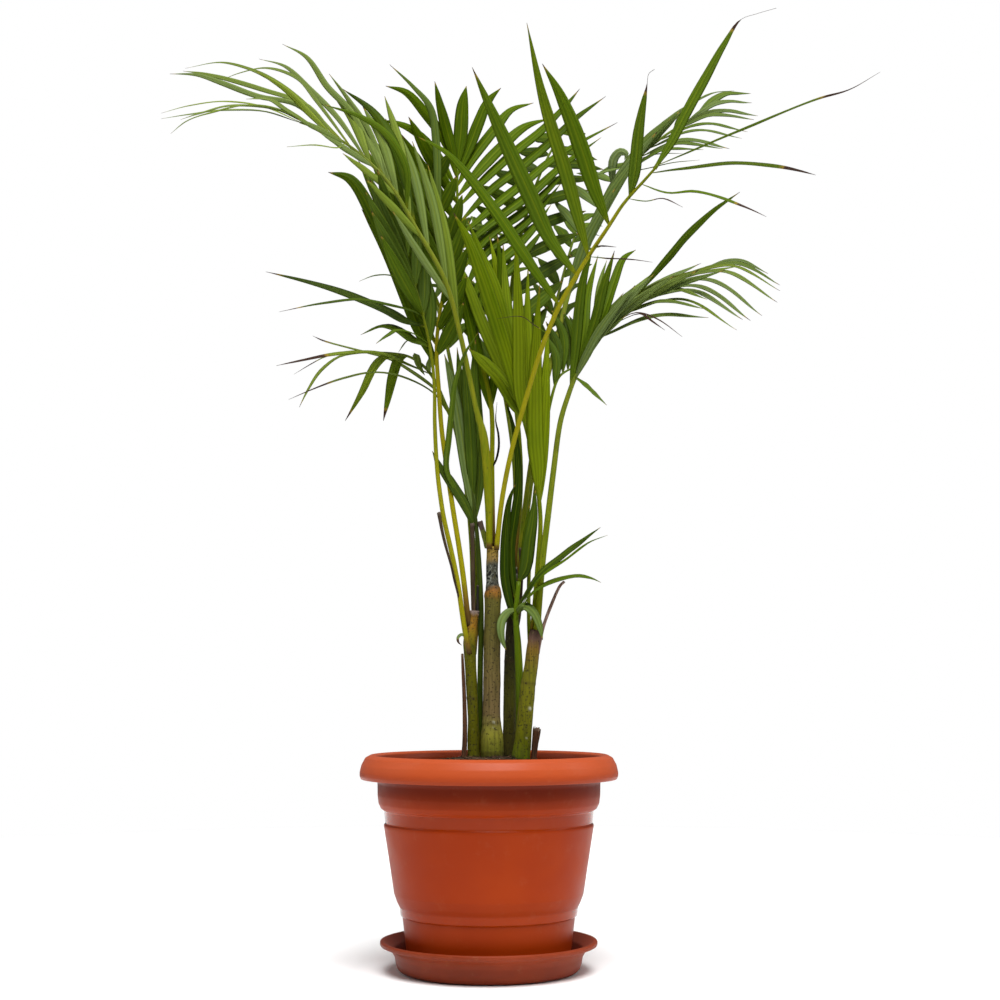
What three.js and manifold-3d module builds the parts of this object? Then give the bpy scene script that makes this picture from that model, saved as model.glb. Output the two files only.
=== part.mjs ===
// A potted areca palm: several canes and suckers in a round two-band pot on a saucer.
// Millimetres, +Z up, origin at the centre of the saucer's underside, front towards -Y.

import * as THREE from 'three';
import { mergeVertices } from 'three/addons/utils/BufferGeometryUtils.js';
import Module from 'manifold-3d';

const wasm = await Module();
wasm.setup();

// Driving dimensions

const CLEARANCE = 0.3;          // gap kept between pieces that touch
const POT_FLOOR = 4.2;          // thickness of the pot's floor
const SAUCER_FLOOR = 3;         // thickness of the saucer's floor
const POT_BOTTOM = SAUCER_FLOOR + CLEARANCE;
const RIM_RADIUS = 129;         // outermost radius of the rolled rim
const RIM_HEIGHT = 212;         // crest of the rim above the table
const RIM_UNDERSIDE = 188;      // lower edge of the rolled rim
const DRAIN_HOLES = 5;
const DRAIN_RADIUS = 6;
const DRAIN_CIRCLE = 50;        // radius of the circle that the drain holes lie on
const ROOT_DEPTH = 150;         // height at which the buried ends of the canes stop
const POT_SIDES = 32;           // facets round the pot and the saucer
const SOIL_SIDES = 24;
const CANE_SIDES = 10;
const STALK_SIDES = 5;
const LEAF_THICKNESS = 1.2;     // at the rib, thinning towards both edges
const SEED = 20;

// Points are written as [across, up, back]: across and up are where the point appears, on the
// upright plane through the pot's axis, to an eye in front of the plant, and back is how far
// behind that plane the point lies.
const EYE = new THREE.Vector3(11, -1768, 286);

function place([across, up, back]) {
  const onPlane = new THREE.Vector3(across, 0, up);
  return onPlane.sub(EYE).multiplyScalar(1 - back / EYE.y).add(EYE);
}

function heading([across, up, back]) {
  return new THREE.Vector3(across, back, up).normalize();
}

// Turned profiles, as [radius, height]

const SAUCER_PROFILE = [
  [0, 0], [82, 0], [87.5, 1], [90.5, 4], [92, 9], [93, 15], [96, 20.5], [102, 24], [107.5, 26],
  [107.5, 30], [104, 30.5], [98.5, 27], [93, 23], [90, 15], [86.5, SAUCER_FLOOR], [0, SAUCER_FLOOR],
];

const POT_PROFILE = [
  [0, POT_BOTTOM], [78, POT_BOTTOM], [79.6, POT_BOTTOM + 2], [85.6, 54], [87.4, 54.8],
  [88.4, 63], [91, 68], [94, 76], [104.2, 141], [104.2, 143.4], [102.8, 144.6], [104, 157],
  [107.4, 159.2], [109.8, 164], [110.9, 172], [111.2, 183.6], [116, 203], [122, 204], [126, 198],
  [126.2, RIM_UNDERSIDE], [127.6, RIM_UNDERSIDE], [RIM_RADIUS, 191], [RIM_RADIUS, 195],
  [127.4, 202], [123.6, 209], [118, RIM_HEIGHT], [113, 210], [110.6, 205], [107.4, 183.6],
  [81.8, 54], [74.8, POT_BOTTOM + POT_FLOOR], [0, POT_BOTTOM + POT_FLOOR],
];

const SOIL_BOTTOM = POT_BOTTOM + POT_FLOOR + CLEARANCE;
const SOIL_PROFILE = [
  [0, SOIL_BOTTOM], [74.1, SOIL_BOTTOM], [81.1, 54], [106.6, 183.6], [108, 193], [97, 197],
  [62, 203], [36, 208.5], [0, 210],
];

// Canes, as [across, up, back, radius] from the buried end up

const CANES = {
  "cane_main": [[3.2, 150, 0, 9], [3.2, 205, 0, 11], [3.2, 219, 0, 11.6], [3, 231, 0, 10.9],
    [2.4, 243, 0, 9.3], [2.4, 258, 0, 8.7], [2.8, 280, 0, 8.7], [3, 320, 0, 8.5], [3.6, 362, 0, 8.2],
    [4, 376, 0, 8.7], [3.4, 379.5, 0, 6.4], [3, 392, 0, 6], [3.2, 406, 0, 6.1], [3.6, 420, 0, 6]],
  "cane_left": [[-15.6, 150, 0, 5.2], [-15.6, 207, 0, 6.2], [-15.6, 222, 0, 5.9],
    [-16, 250, 0, 5.4], [-18.6, 300, 0, 5.8], [-19.6, 322, 0, 6.6], [-18, 338, 0, 5.8],
    [-15.4, 348, 0, 4.2], [-14.6, 356, 0, 3.9]],
  "cane_back": [[20, 150, 16, 6.5], [20.5, 250, 16, 6.5], [21.3, 300, 16, 6.3], [22.4, 340, 16, 5.3],
    [24, 372, 16, 5], [24.2, 400, 16, 4.7]],
  "cane_right": [[28, 150, -14, 8], [31.4, 206, -14, 9.4], [33.6, 222, -14, 8.4], [35.2, 240, -14, 8],
    [39, 280, -14, 7.5], [42.4, 300, -14, 6.9], [45.3, 325, -14, 6.2], [47, 336, -14, 5.2]],
};

// Dry leftovers of older leaves: cut stalks, a sheath and a snapped shoot

const STUBS = {
  "stub_cut_top": { "stalk": [[-2, 419, 3], [-6, 434, 3], [-9.5, 446, 3]], "radii": [2.2, 2.6, 2.7],
    "seat": "cane_main" },
  "stub_brown_tall": { "stalk": [[-15.6, 353, -2], [-16.2, 380, -3], [-16.7, 410, -4],
    [-17.1, 444, -4.5]], "radii": [2.1, 2.2, 2],
    "seat": "cane_left" },
  "stub_black": { "stalk": [[-11.9, 350, -2], [-11.8, 366, -2], [-11.6, 381, -2]],
    "radii": [1.3, 1.3, 1.2], "seat": "cane_left" },
  "stub_back": { "stalk": [[24.5, 322, 14], [30.5, 350, 9], [32.6, 380, 8], [32.4, 402, 8],
    [32.3, 419, 8]], "radii": [1.6, 1.6, 2.2], "seat": "cane_back" },
  "stub_right_thin": { "stalk": [[49, 312, -15], [53.2, 334, -17], [61, 357, -18], [70, 378, -19],
    [76, 385, -19]], "radii": [1.7, 1.7, 1.3], "seat": "cane_right" },
  "stub_left_cut": { "stalk": [[-30, 366, -10], [-34, 382, -15], [-38.6, 402, -17],
    [-46.4, 430, -17], [-51.3, 455, -17]], "radii": [1.0, 1.2, 1.9], "seat": "frond_left_outer" },
  "stub_snapped": { "stalk": [[43, 170, -10], [44.5, 207, -10], [48, 237, -10]],
    "radii": [2.4, 2.7, 3.8], "seat": "soil" },
  "sheath_dry": { "stalk": [[-25, 170, -1], [-25, 207, -1], [-24.5, 224, -1], [-24.3, 242, -1],
    [-24.7, 264, -1], [-26, 292, -1], [-27, 312, -1]], "radii": [2.9, 2.3, 1.2], "seat": "soil" },
};

// Fronds and leafy shoots: a stalk, rows of leaflets given by the line of their tips, and single
// leaflets given by the points they pass through. "from", "to" and "at" count along the stalk's
// points. "face" is the way a leaflet's upper side looks.

const FRONDS = {
  "shoot_left": { "seat": "soil", "radii": [3, 2.6, 1.2], "look": "dark",
    "stalk": [[-9, 170, 9], [-9, 280, 8], [-8, 350, 8], [-10, 400, 7], [-13, 440, 6], [-18, 480, 6],
      [-22, 520, 8]],
    "rows": [],
    "singles": [
      { "at": 3.9, "through": [[-24, 462, -1], [-38, 485, -6], [-50, 502, -8], [-58, 518, -8]],
        "wide": 12, "face": [0.2, 0.5, -1] },
      { "at": 4.3, "through": [[-34, 478, 2], [-43, 500, -3], [-40.5, 530, -10], [-37.5, 560, -18],
        [-34, 590, -26], [-24, 620, -36], [-11, 641, -42]], "wide": 6, "face": [0.2, 0.2, -1] },
      { "at": 4.1, "through": [[-20, 480, 5], [-27, 522, 4], [-34, 565, 4], [-40, 596, 4], [-46, 618, 4]],
        "wide": 13, "face": [0, 0.3, -1] },
      { "at": 4.4, "through": [[-19, 495, 9], [-24, 540, 11], [-29, 585, 13], [-33, 625, 15]],
        "wide": 13, "face": [0, 0.3, -1] },
      { "at": 4.7, "through": [[-17, 500, 3], [-19, 545, 2], [-23, 590, 2], [-27, 635, 2]], "wide": 13,
        "face": [0, 0.3, -1] },
      { "at": 5.0, "through": [[-15, 520, 9], [-14, 560, 10], [-15, 600, 12], [-14, 635, 14]],
        "wide": 12, "face": [0, 0.3, -1] },
      { "at": 4.2, "through": [[-11, 480, 9], [-10, 520, 10], [-11, 560, 12], [-10, 600, 14]],
        "wide": 11, "face": [0, 0.3, -1] },
    ] },
  "shoot_right": { "seat": "soil", "radii": [3.8, 4, 2.2], "look": "dark",
    "stalk": [[30, 170, 4], [30.5, 240, 3], [30.5, 280, 1], [29, 320, -1], [27, 350, -2],
      [30, 385, -2]],
    "rows": [],
    "singles": [
      { "at": 4.2, "through": [[50, 391, -26], [75, 412, -30], [95, 427, -32], [113, 440, -33]],
        "wide": 10, "face": [-0.4, 0.8, -1] },
      { "at": 4.05, "through": [[54, 391, -32], [80, 409, -38], [100, 424, -42], [120, 432, -44]],
        "wide": 8, "face": [-0.3, 1, -0.5] },
      { "at": 3.9, "through": [[44, 374, -26], [65, 386, -34], [88, 391, -38], [102, 389, -40],
        [113, 384, -41]], "wide": 8, "face": [0, 1, -0.9] },
      { "at": 5, "through": [[36.5, 397, -4], [41, 425, -6], [45, 452, -7], [47, 478, -8]],
        "wide": 13, "face": [0.3, 0.2, -1] },
      { "at": 3.7, "through": [[21, 362, -4], [15.5, 388, -7], [15, 415, -8], [17, 445, -8],
        [20.5, 468, -8], [27, 485, -8]], "wide": 10, "face": [-0.2, 0.2, -1] },
      { "at": 4.4, "through": [[24, 388, -1], [22, 420, 0], [25.5, 450, 2], [29.5, 480, 5],
        [29, 512, 8], [24, 545, 11], [14, 578, 14]], "wide": 9.5, "face": [0.2, 0.1, -1] },
      { "at": 4.9, "through": [[35, 408, 0], [38, 437, 1], [41, 463, 2]], "wide": 7,
        "face": [0.4, 0.2, -1] },
      { "at": 4.1, "through": [[36, 360, -14], [45, 353, -20], [51, 339, -22], [54, 326, -22]],
        "wide": 10, "face": [0.2, 0.2, -1] },
      { "at": 4.2, "through": [[19, 354, -7], [13, 346, -12], [11.5, 336, -15], [13.5, 325, -16],
        [17.5, 315, -16]], "wide": 9, "face": [0, 0.1, -1] },
    ] },
  "frond_left_arch": { "seat": "cane_main", "look": "grey",
    "radii": [2.8, 4.6, 4.4, 2.6, 2.5, 2.4, 2.2, 2, 1.8, 1.5, 1.2, 0.9],
    "stalk": [[0.2, 418, -4], [-0.6, 474, -8], [-5.4, 530, -15], [-14, 564, -19], [-29, 635, -28],
      [-46, 696, -36], [-77, 752, -42], [-97, 787, -46], [-118, 813, -48], [-144, 836, -50],
      [-170, 852, -52], [-197, 862, -54]],
    "rows": [
      { "from": 4.2, "to": 8.2, "count": 7, "wide": 10, "arch": [0.02, 0.05], "face": [-0.1, 0.6, -1],
        "tips": [[-64, 818, -10], [-80, 842, -2], [-100, 864, 6], [-109, 890, 12], [-132, 880, 14],
          [-150, 888, 14], [-168, 902, 10]] },
      { "from": 4.6, "to": 9.2, "count": 5, "wide": 9, "arch": [-0.02, 0.02], "face": [-0.1, 0.6, -1],
        "tips": [[-100, 768, -62], [-128, 802, -70], [-152, 829, -74], [-176, 851, -78],
          [-200, 866, -80]] },
    ],
    "singles": [
      { "at": 10.2, "through": [[-222, 877, -66], [-254, 880, -78], [-290, 872, -92], [-315, 863, -100],
        [-331, 850, -104]], "wide": 7, "face": [0, 1, -0.5] },
      { "at": 10.6, "through": [[-220, 875, -60], [-268, 880, -68], [-300, 872, -74], [-321, 865, -76]],
        "wide": 7, "face": [0, 1, -0.6] },
      { "at": 10.8, "through": [[-235, 879, -50], [-275, 884.5, -48], [-312, 880, -46], [-341, 872, -44]],
        "wide": 5, "face": [0, 1, -0.6] },
      { "at": 11, "through": [[-235, 874, -56], [-280, 875, -60], [-310, 871, -64], [-341, 866, -66]],
        "wide": 6, "face": [0, 1, -0.6] },
      { "at": 10, "through": [[-200, 881, -40], [-240, 890, -30], [-280, 905, -22], [-305, 913, -16],
        [-333, 914, -12]], "wide": 7, "face": [-0.3, 0.8, -1] },
      { "at": 9.6, "through": [[-190, 880, -34], [-236, 897, -16], [-280, 910, -2], [-300, 914.5, 4],
        [-319, 917, 8]], "wide": 6.5, "face": [-0.3, 0.8, -1] },
      { "at": 9.3, "through": [[-196, 886, -26], [-222, 906, -14], [-250, 920, -2], [-280, 926.5, 8],
        [-317, 920, 18]], "wide": 6, "face": [-0.4, 0.8, -1] },
      { "at": 9, "through": [[-180, 885, -26], [-200, 909, -10], [-232, 920, 4], [-260, 915, 14],
        [-284, 905, 20]], "wide": 5, "face": [-0.4, 0.8, -1] },
      { "at": 9.8, "through": [[-190, 874, -46], [-214, 898, -48], [-243, 917, -50]], "wide": 6.5,
        "face": [-0.3, 0.6, -1] },
      { "at": 10.4, "through": [[-210, 875, -62], [-230, 887, -68], [-253, 887, -72]], "wide": 7,
        "face": [-0.2, 0.8, -1] },
      { "at": 8.4, "through": [[-158, 868, -30], [-186, 898, -12], [-212, 922, 2], [-240, 930, 12]],
        "wide": 6.5, "face": [-0.4, 0.6, -1] },
      { "at": 7.6, "through": [[-142, 872, -20], [-168, 901, -4], [-190, 932, 8], [-216, 946, 16]],
        "wide": 7.5, "face": [-0.4, 0.6, -1] },
      { "at": 7.2, "through": [[-126, 856, -16], [-146, 886, -4], [-167, 914, 6]], "wide": 6,
        "face": [-0.4, 0.5, -1] },
      { "at": 6, "through": [[-91, 815, -20], [-104, 848, -8], [-124, 876, 2], [-153, 898, 10]],
        "wide": 11, "face": [-0.3, 0.5, -1] },
      { "at": 6.4, "through": [[-86, 812, -56], [-106, 848, -62], [-134, 868, -68], [-172, 881, -72]],
        "wide": 8, "face": [-0.1, 0.2, -1] },
      { "at": 9.2, "through": [[-160, 835, -76], [-180, 838, -86], [-210, 836, -94]], "wide": 4,
        "face": [0, 1, -0.6] },
    ] },
  "frond_front_right": { "seat": "cane_main", "radii": [2.5, 2.4, 1.2], "look": "bright",
    "stalk": [[7.4, 417, -4], [13, 468, -14], [23, 519, -26], [37, 570, -40], [53, 622, -56],
      [69, 662, -68], [85, 692, -78], [102, 720, -86], [122, 750, -94], [139, 776, -100],
      [161, 801, -106], [175, 817, -110]],
    "rows": [],
    "singles": [
      { "at": 5.2, "through": [[52, 698, -80], [30, 732, -94], [6, 769, -108], [-18, 801, -120],
        [-47, 832, -132], [-75, 847, -140]], "wide": 16.5, "face": [0.2, 0.5, -1] },
      { "at": 6.3, "through": [[63, 738, -88], [43, 783, -102], [23, 828, -116], [3, 873, -130],
        [-18, 921, -142]], "wide": 16.5, "face": [0.1, 0.3, -1] },
      { "at": 7, "through": [[91, 764, -96], [79, 810, -108], [66, 853, -120], [53, 900, -132],
        [39, 969, -148]], "wide": 13.5, "face": [0, 0.2, -1] },
      { "at": 8.1, "through": [[110, 788, -104], [98, 828, -116], [86, 863, -128], [72, 895, -140],
        [55, 925, -150]], "wide": 16.5, "face": [0, 0.2, -1] },
      { "at": 9.3, "through": [[151, 812, -110], [156, 858, -124], [164, 902, -138]], "wide": 12,
        "face": [0.2, 0.2, -1] },
      { "at": 10.7, "through": [[187, 838, -108], [205, 873, -109], [226, 912, -110], [245, 946, -111],
        [262, 972, -112]], "wide": 11.5, "face": [-0.3, 0.3, -1] },
      { "at": 11, "through": [[220, 836, -106], [262, 854, -98], [300, 870, -90], [345, 888, -80],
        [375, 897, -72], [407, 916, -64]], "wide": 9, "face": [-0.3, 1, 0.12] },
      { "at": 10.4, "through": [[200, 813, -96], [250, 819, -80], [290, 817, -66], [320, 811, -54],
        [338, 806, -48]], "wide": 9, "face": [0, 1, 0.1] },
      { "at": 9.8, "through": [[185, 787, -112], [212, 789, -124], [240, 782, -134], [265, 772, -142],
        [286, 762, -148]], "wide": 8, "face": [0.1, 1, -0.7] },
      { "at": 9.2, "through": [[162, 778, -112], [180, 781, -122], [200, 772, -130]], "wide": 5,
        "face": [0, 1, -0.3] },
      { "at": 7.3, "through": [[115, 731, -98], [131, 730, -108]], "wide": 5, "face": [0, 1, 0] },
      { "at": 7.0, "through": [[120, 718, -100], [145, 717, -116], [168, 714, -130]], "wide": 5,
        "face": [0, 1, 0] },
      { "at": 4.4, "through": [[45, 649, -64], [33, 657, -68], [8, 655, -72]], "wide": 3,
        "face": [0, 1, -0.5] },
    ] },
  "frond_right_arch": { "seat": "cane_right", "radii": [3.6, 2.4, 1], "look": "grey",
    "stalk": [[47.5, 328, -15], [50.5, 366, -16], [54.2, 407, -17], [60.5, 458, -18], [65.5, 498, -20],
      [72, 545, -22], [81, 576, -24], [90, 599, -26], [103, 624, -28], [120, 648, -30],
      [140, 669, -30], [163, 687, -30], [188, 698, -30], [217, 706, -28]],
    "rows": [
      { "from": 9.4, "to": 13, "count": 8, "wide": 9, "arch": [0.06, 0.17], "face": [0.2, 1, -0.8],
        "tips": [[254, 643, -112], [260, 654, -108], [268, 653, -100], [280, 658, -90],
          [296, 672, -74], [299, 684, -54], [299, 690, -36], [287, 702, -22]] },
      { "from": 8.4, "to": 10.4, "count": 3, "wide": 8, "arch": [0.02, 0.1], "face": [-0.2, 0.9, -1],
        "tips": [[225, 656, -104], [222, 665, -116], [224, 675, -110]] },
      { "from": 6.6, "to": 9.6, "count": 5, "wide": 12, "arch": [-0.03, 0.03], "face": [-0.4, 0.6, -1],
        "tips": [[150, 690, -72], [170, 702, -80], [190, 700, -84], [216, 706, -86], [244, 706, -80]] },
      { "from": 6.4, "to": 10, "count": 4, "wide": 10, "arch": [-0.04, 0.04], "face": [-0.4, 0.8, -1],
        "tips": [[138, 682, 24], [170, 704, 44], [218, 713, 56], [262, 711, 54]] },
    ],
    "singles": [
      { "at": 6.3, "through": [[89, 625, -34], [93, 665, -48], [98, 700, -58], [106, 726, -64]],
        "wide": 11, "face": [0, 0.1, -1] },
      { "at": 6.6, "through": [[97, 640, -12], [101, 680, 4], [112, 721, 16]], "wide": 10,
        "face": [0, 0.1, -1] },
      { "at": 6.8, "through": [[107, 648, 4], [113, 690, 22], [121, 716, 34]], "wide": 7,
        "face": [0.3, 0.1, -1] },
      { "at": 7.1, "through": [[109, 652, -38], [118, 688, -52], [129, 726, -64]], "wide": 10,
        "face": [0, 0.2, -1] },
      { "at": 7.6, "through": [[117, 660, -22], [128, 694, -10], [138, 718, 0], [151, 727, 8]],
        "wide": 10, "face": [0.1, 0.2, -1] },
      { "at": 10.4, "through": [[182, 716, -42], [204, 742, -56], [230, 767, -70], [259, 788, -80]],
        "wide": 10, "face": [-0.3, 0.5, -1] },
      { "at": 8.6, "through": [[150, 661, -70], [172, 655, -84], [198, 636, -96]], "wide": 4,
        "face": [0, 1, -0.6] },
      { "at": 8.8, "through": [[155, 660, -62], [166, 653, -72], [180, 643, -80]], "wide": 3.5,
        "face": [0, 1, -0.6] },
      { "at": 6.8, "through": [[98, 587, -40], [108, 577, -54], [120, 565, -66]], "wide": 8,
        "face": [0.4, 0.8, -1] },
    ] },
  "frond_top_fan": { "seat": "cane_main", "radii": [2.4, 2.4, 1.1], "look": "bright",
    "stalk": [[4, 417, 4], [3, 498, 8], [3, 550, 12], [-1, 581, 16], [-15, 633, 22], [-25, 685, 28],
      [-30, 737, 34], [-33, 779, 38], [-33, 815, 42]],
    "rows": [
      { "from": 4.2, "to": 6.9, "count": 6, "wide": 13, "arch": [-0.04, 0.06], "face": [-0.2, 0.3, -1],
        "tips": [[-66, 745, 6], [-78, 775, 4], [-84, 805, 4], [-90, 830, 6], [-92, 850, 10],
          [-84, 868, 14]] },
    ],
    "singles": [
      { "at": 7.8, "through": [[-42, 845, 36], [-50, 876, 28], [-57, 906, 20]], "wide": 13,
        "face": [0.2, 0.2, -1] },
      { "at": 7.6, "through": [[-47, 845, 36], [-66, 872, 28], [-86, 894, 20], [-108, 901, 14]],
        "wide": 11, "face": [0, 0.15, -1] },
      { "at": 7.3, "through": [[-54, 828, 34], [-75, 851, 24], [-95, 861, 16], [-113, 864, 10]],
        "wide": 10, "face": [0, 0.2, -1] },
      { "at": 8, "through": [[-30, 850, 46], [-28, 880, 48], [-24, 901, 49]], "wide": 15,
        "face": [0, 0.1, -1] },
      { "at": 7.7, "through": [[-21, 835, 48], [-11, 862, 52], [-1, 885, 56], [12, 899, 58]],
        "wide": 13, "face": [-0.1, 0.3, -1] },
      { "at": 7.4, "through": [[-17, 825, 50], [4, 853, 64], [22, 875, 76], [46, 883, 86]], "wide": 13,
        "face": [0, 0.4, -1] },
      { "at": 7.1, "through": [[-10, 811, 50], [14, 837, 66], [38, 858, 82], [62, 866, 94]], "wide": 13,
        "face": [0, 0.4, -1] },
      { "at": 6.8, "through": [[-6, 800, 50], [22, 826, 68], [52, 851, 86], [76, 876, 100],
        [94, 898, 112]], "wide": 13, "face": [-0.2, 0.4, -1] },
      { "at": 6.4, "through": [[2, 790, 52], [32, 813, 72], [62, 839, 92], [92, 868, 110],
        [121, 890, 124]], "wide": 13, "face": [-0.2, 0.4, -1] },
      { "at": 6.1, "through": [[5, 772, 50], [40, 800, 72], [75, 829, 94], [133, 862, 124]],
        "wide": 12.5, "face": [-0.2, 0.4, -1] },
      { "at": 5.8, "through": [[5, 758, 48], [40, 785, 70], [74, 815, 90], [116, 846, 112]],
        "wide": 12.5, "face": [-0.2, 0.4, -1] },
      { "at": 5.4, "through": [[0, 742, 46], [30, 763, 64], [60, 790, 82], [85, 818, 98]], "wide": 12.5,
        "face": [-0.2, 0.4, -1] },
      { "at": 5.0, "through": [[-4, 724, 44], [25, 745, 60], [50, 768, 76], [74, 797, 92]],
        "wide": 12.5, "face": [-0.2, 0.4, -1] },
      { "at": 4.6, "through": [[-2, 706, 40], [20, 724, 54], [44, 748, 68], [64, 775, 80]],
        "wide": 12.5, "face": [-0.2, 0.4, -1] },
      { "at": 4.3, "through": [[0, 688, 36], [20, 706, 48], [40, 728, 60], [58, 752, 70]], "wide": 12.5,
        "face": [-0.2, 0.4, -1] },
      { "at": 2.2, "through": [[-6, 592, 14], [-16, 632, 14], [-24, 668, 14], [-32, 702, 14]],
        "wide": 13, "face": [0.1, 0.3, -1] },
      { "at": 2.4, "through": [[6, 600, 18], [12, 650, 22], [12, 700, 26], [8, 745, 28]],
        "wide": 13, "face": [-0.1, 0.3, -1] },
      { "at": 1.05, "through": [[7, 509, 2], [9.5, 522, 0], [9, 536, -2], [6.5, 549, -4],
        [8, 568, -6]], "wide": 2.4, "face": [-0.2, 0.4, -1] },
    ] },
  "frond_left_dark": { "seat": "cane_left", "radii": [2.8, 2.3, 1], "look": "dark",
    "stalk": [[-20.5, 340, -2], [-25.4, 384, -2], [-30.5, 420, -1], [-37, 460, 1], [-43, 500, 3],
      [-48.5, 540, 5], [-51.5, 580, 7], [-54, 620, 9], [-52, 652, 12], [-47, 688, 14], [-48, 725, 18],
      [-56, 770, 22], [-66, 812, 26]],
    "rows": [
      { "from": 7.8, "to": 12, "count": 8, "wide": 15, "arch": [-0.03, 0.03], "face": [-0.3, 0.3, -1],
        "tips": [[-144, 805, 70], [-136, 822, 80], [-126, 832, 86], [-122, 848, 90], [-118, 862, 90],
          [-108, 866, 88], [-98, 868, 84], [-88, 872, 78]] },
      { "from": 6.9, "to": 11.6, "count": 7, "wide": 14, "arch": [0.03, 0.02], "face": [0.3, 0.3, -1],
        "tips": [[-26, 672, -10], [-23, 700, -8], [-21, 732, -4], [-24, 762, 0], [-28, 785, 4],
          [-34, 805, 8], [-40, 830, 12]] },
    ],
    "singles": [
      { "at": 6.6, "through": [[-74, 650, 20], [-104, 722, 44], [-132, 770, 56]], "wide": 14,
        "face": [-0.2, 0.2, -1] },
      { "at": 7.2, "through": [[-85, 690, 28], [-119, 763, 52], [-144, 802, 64], [-167, 809, 70]],
        "wide": 16, "face": [-0.2, 0.3, -1] },
      { "at": 10.2, "through": [[-53, 790, 34], [-55, 840, 44], [-61, 877, 50], [-79, 900, 54],
        [-104, 924, 56]], "wide": 9, "face": [0.2, 0.3, -1] },
    ] },
  "frond_left_outer": { "seat": "cane_left", "radii": [2.7, 2.3, 0.9], "look": "dark",
    "stalk": [[-19.5, 312, -4], [-23.4, 330, -6.5], [-27, 352, -9], [-31.5, 382, -10],
      [-37.5, 412, -10], [-44, 440, -10], [-48.2, 462, -9], [-53, 500, -7], [-55.5, 545, -5], [-56, 582, -4],
      [-59, 615, -4], [-66, 650, -6], [-76, 688, -8], [-88, 724, -10]],
    "rows": [
      { "from": 11.2, "to": 13, "count": 6, "wide": 14, "arch": [-0.02, 0.02], "face": [-0.3, 0.3, -1],
        "tips": [[-112, 742, -60], [-122, 768, -68], [-128, 788, -72], [-124, 802, -72],
          [-116, 812, -68], [-104, 815, -60]] },
      { "from": 10.4, "to": 12.8, "count": 4, "wide": 13, "arch": [0.02, 0.02], "face": [0.2, 0.3, -1],
        "tips": [[-62, 700, 36], [-68, 730, 40], [-76, 760, 42], [-88, 790, 44]] },
    ],
    "singles": [
      { "at": 10.3, "through": [[-80, 634, 6], [-96, 645, 16], [-112, 647, 26], [-132, 638, 38]],
        "wide": 12, "face": [0.3, 0.7, -1] },
      { "at": 10.4, "through": [[-78, 639, -18], [-95, 643, -34], [-104, 638, -42], [-116, 629, -50]],
        "wide": 7, "face": [0, 1, -0.6] },
      { "at": 10.9, "through": [[-84, 652, 6], [-104, 663, 20], [-140, 679, 38], [-188, 694, 54],
        [-230, 704, 66]], "wide": 12, "face": [0.2, 0.8, -1] },
      { "at": 11.2, "through": [[-80, 663, -18], [-100, 669, -30], [-135, 675, -48], [-172, 671, -64],
        [-216, 662, -78]], "wide": 10, "face": [0, 1, -0.7] },
      { "at": 12, "through": [[-92, 697, -12], [-102, 700, -14], [-118, 700, -16], [-134, 694, -18]],
        "wide": 6, "face": [0, 1, -0.3] },
      { "at": 10.2, "through": [[-72, 632, 6], [-84, 632, 10], [-93, 620, 12]], "wide": 5,
        "face": [0, 1, -0.6] },
      { "at": 1, "through": [[-28, 331.5, -9], [-31.3, 328.5, -10.5], [-31, 324, -12],
        [-27.6, 320.6, -13]], "wide": 3, "face": [0, 0.1, -1] },
    ] },
  "frond_low_left": { "seat": "cane_left", "radii": [2.4, 2, 0.9], "look": "dark",
    "stalk": [[-15, 338, 2], [-16.5, 380, 12], [-18.5, 430, 19], [-24, 484, 25], [-34, 538, 32],
      [-45, 566, 36], [-57, 593, 42], [-70, 608, 48], [-84, 616, 54], [-100, 619, 58], [-118, 620, 62]],
    "rows": [],
    "singles": [
      { "at": 4.5, "through": [[-56, 577, 36], [-90, 595, 28], [-120, 599, 20], [-150, 593, 12],
        [-182, 581, 4], [-205, 571, -2]], "wide": 7, "face": [0, 1, -0.4] },
      { "at": 5.3, "through": [[-60, 586, 56], [-80, 600, 72], [-102, 613, 88], [-135, 622, 108],
        [-170, 632, 126], [-181, 637, 132]], "wide": 7, "face": [0, 1, -0.4] },
      { "at": 6.2, "through": [[-82, 607, 32], [-112, 619, 16], [-150, 619, -2], [-190, 612, -18],
        [-218, 606, -28]], "wide": 8, "face": [0, 1, -0.8] },
      { "at": 10, "through": [[-140, 621, 74], [-163, 617, 84], [-180, 609, 92], [-200, 597, 100]],
        "wide": 7, "face": [0, 1, -0.5] },
      { "at": 9.4, "through": [[-130, 620, 54], [-155, 615, 52], [-172, 602, 50], [-184, 584, 48],
        [-194, 563, 46]], "wide": 7, "face": [0, 1, -0.6] },
      { "at": 8.4, "through": [[-108, 615, 50], [-119, 603, 46], [-131, 577, 44], [-147, 549, 42]],
        "wide": 11, "face": [-0.3, 0.6, -1] },
      { "at": 8.0, "through": [[-92, 614, 44], [-98, 600, 38], [-103, 575, 36], [-108, 549, 35]],
        "wide": 12, "face": [-0.2, 0.5, -1] },
      { "at": 7.0, "through": [[-75, 617, 52], [-72, 606, 46], [-66, 596, 42]], "wide": 8,
        "face": [0.2, 0.7, -1] },
      { "at": 6.3, "through": [[-62, 607, 36], [-60, 613, 34], [-64, 620, 32]], "wide": 6,
        "face": [0, 0.5, -1] },
    ] },
  "frond_back_right": { "seat": "cane_back", "radii": [2.8, 2.6, 1.1], "look": "grey",
    "stalk": [[27.5, 361, 17], [32, 420, 27], [39, 480, 40], [50, 550, 58], [66, 620, 72], [84, 690, 86],
      [104, 745, 98], [128, 792, 108], [155, 825, 118], [185, 850, 126], [212, 866, 132]],
    "rows": [
      { "from": 7.3, "to": 10, "count": 9, "wide": 11, "arch": [0, 0.14], "face": [0, 1, -0.8],
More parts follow.
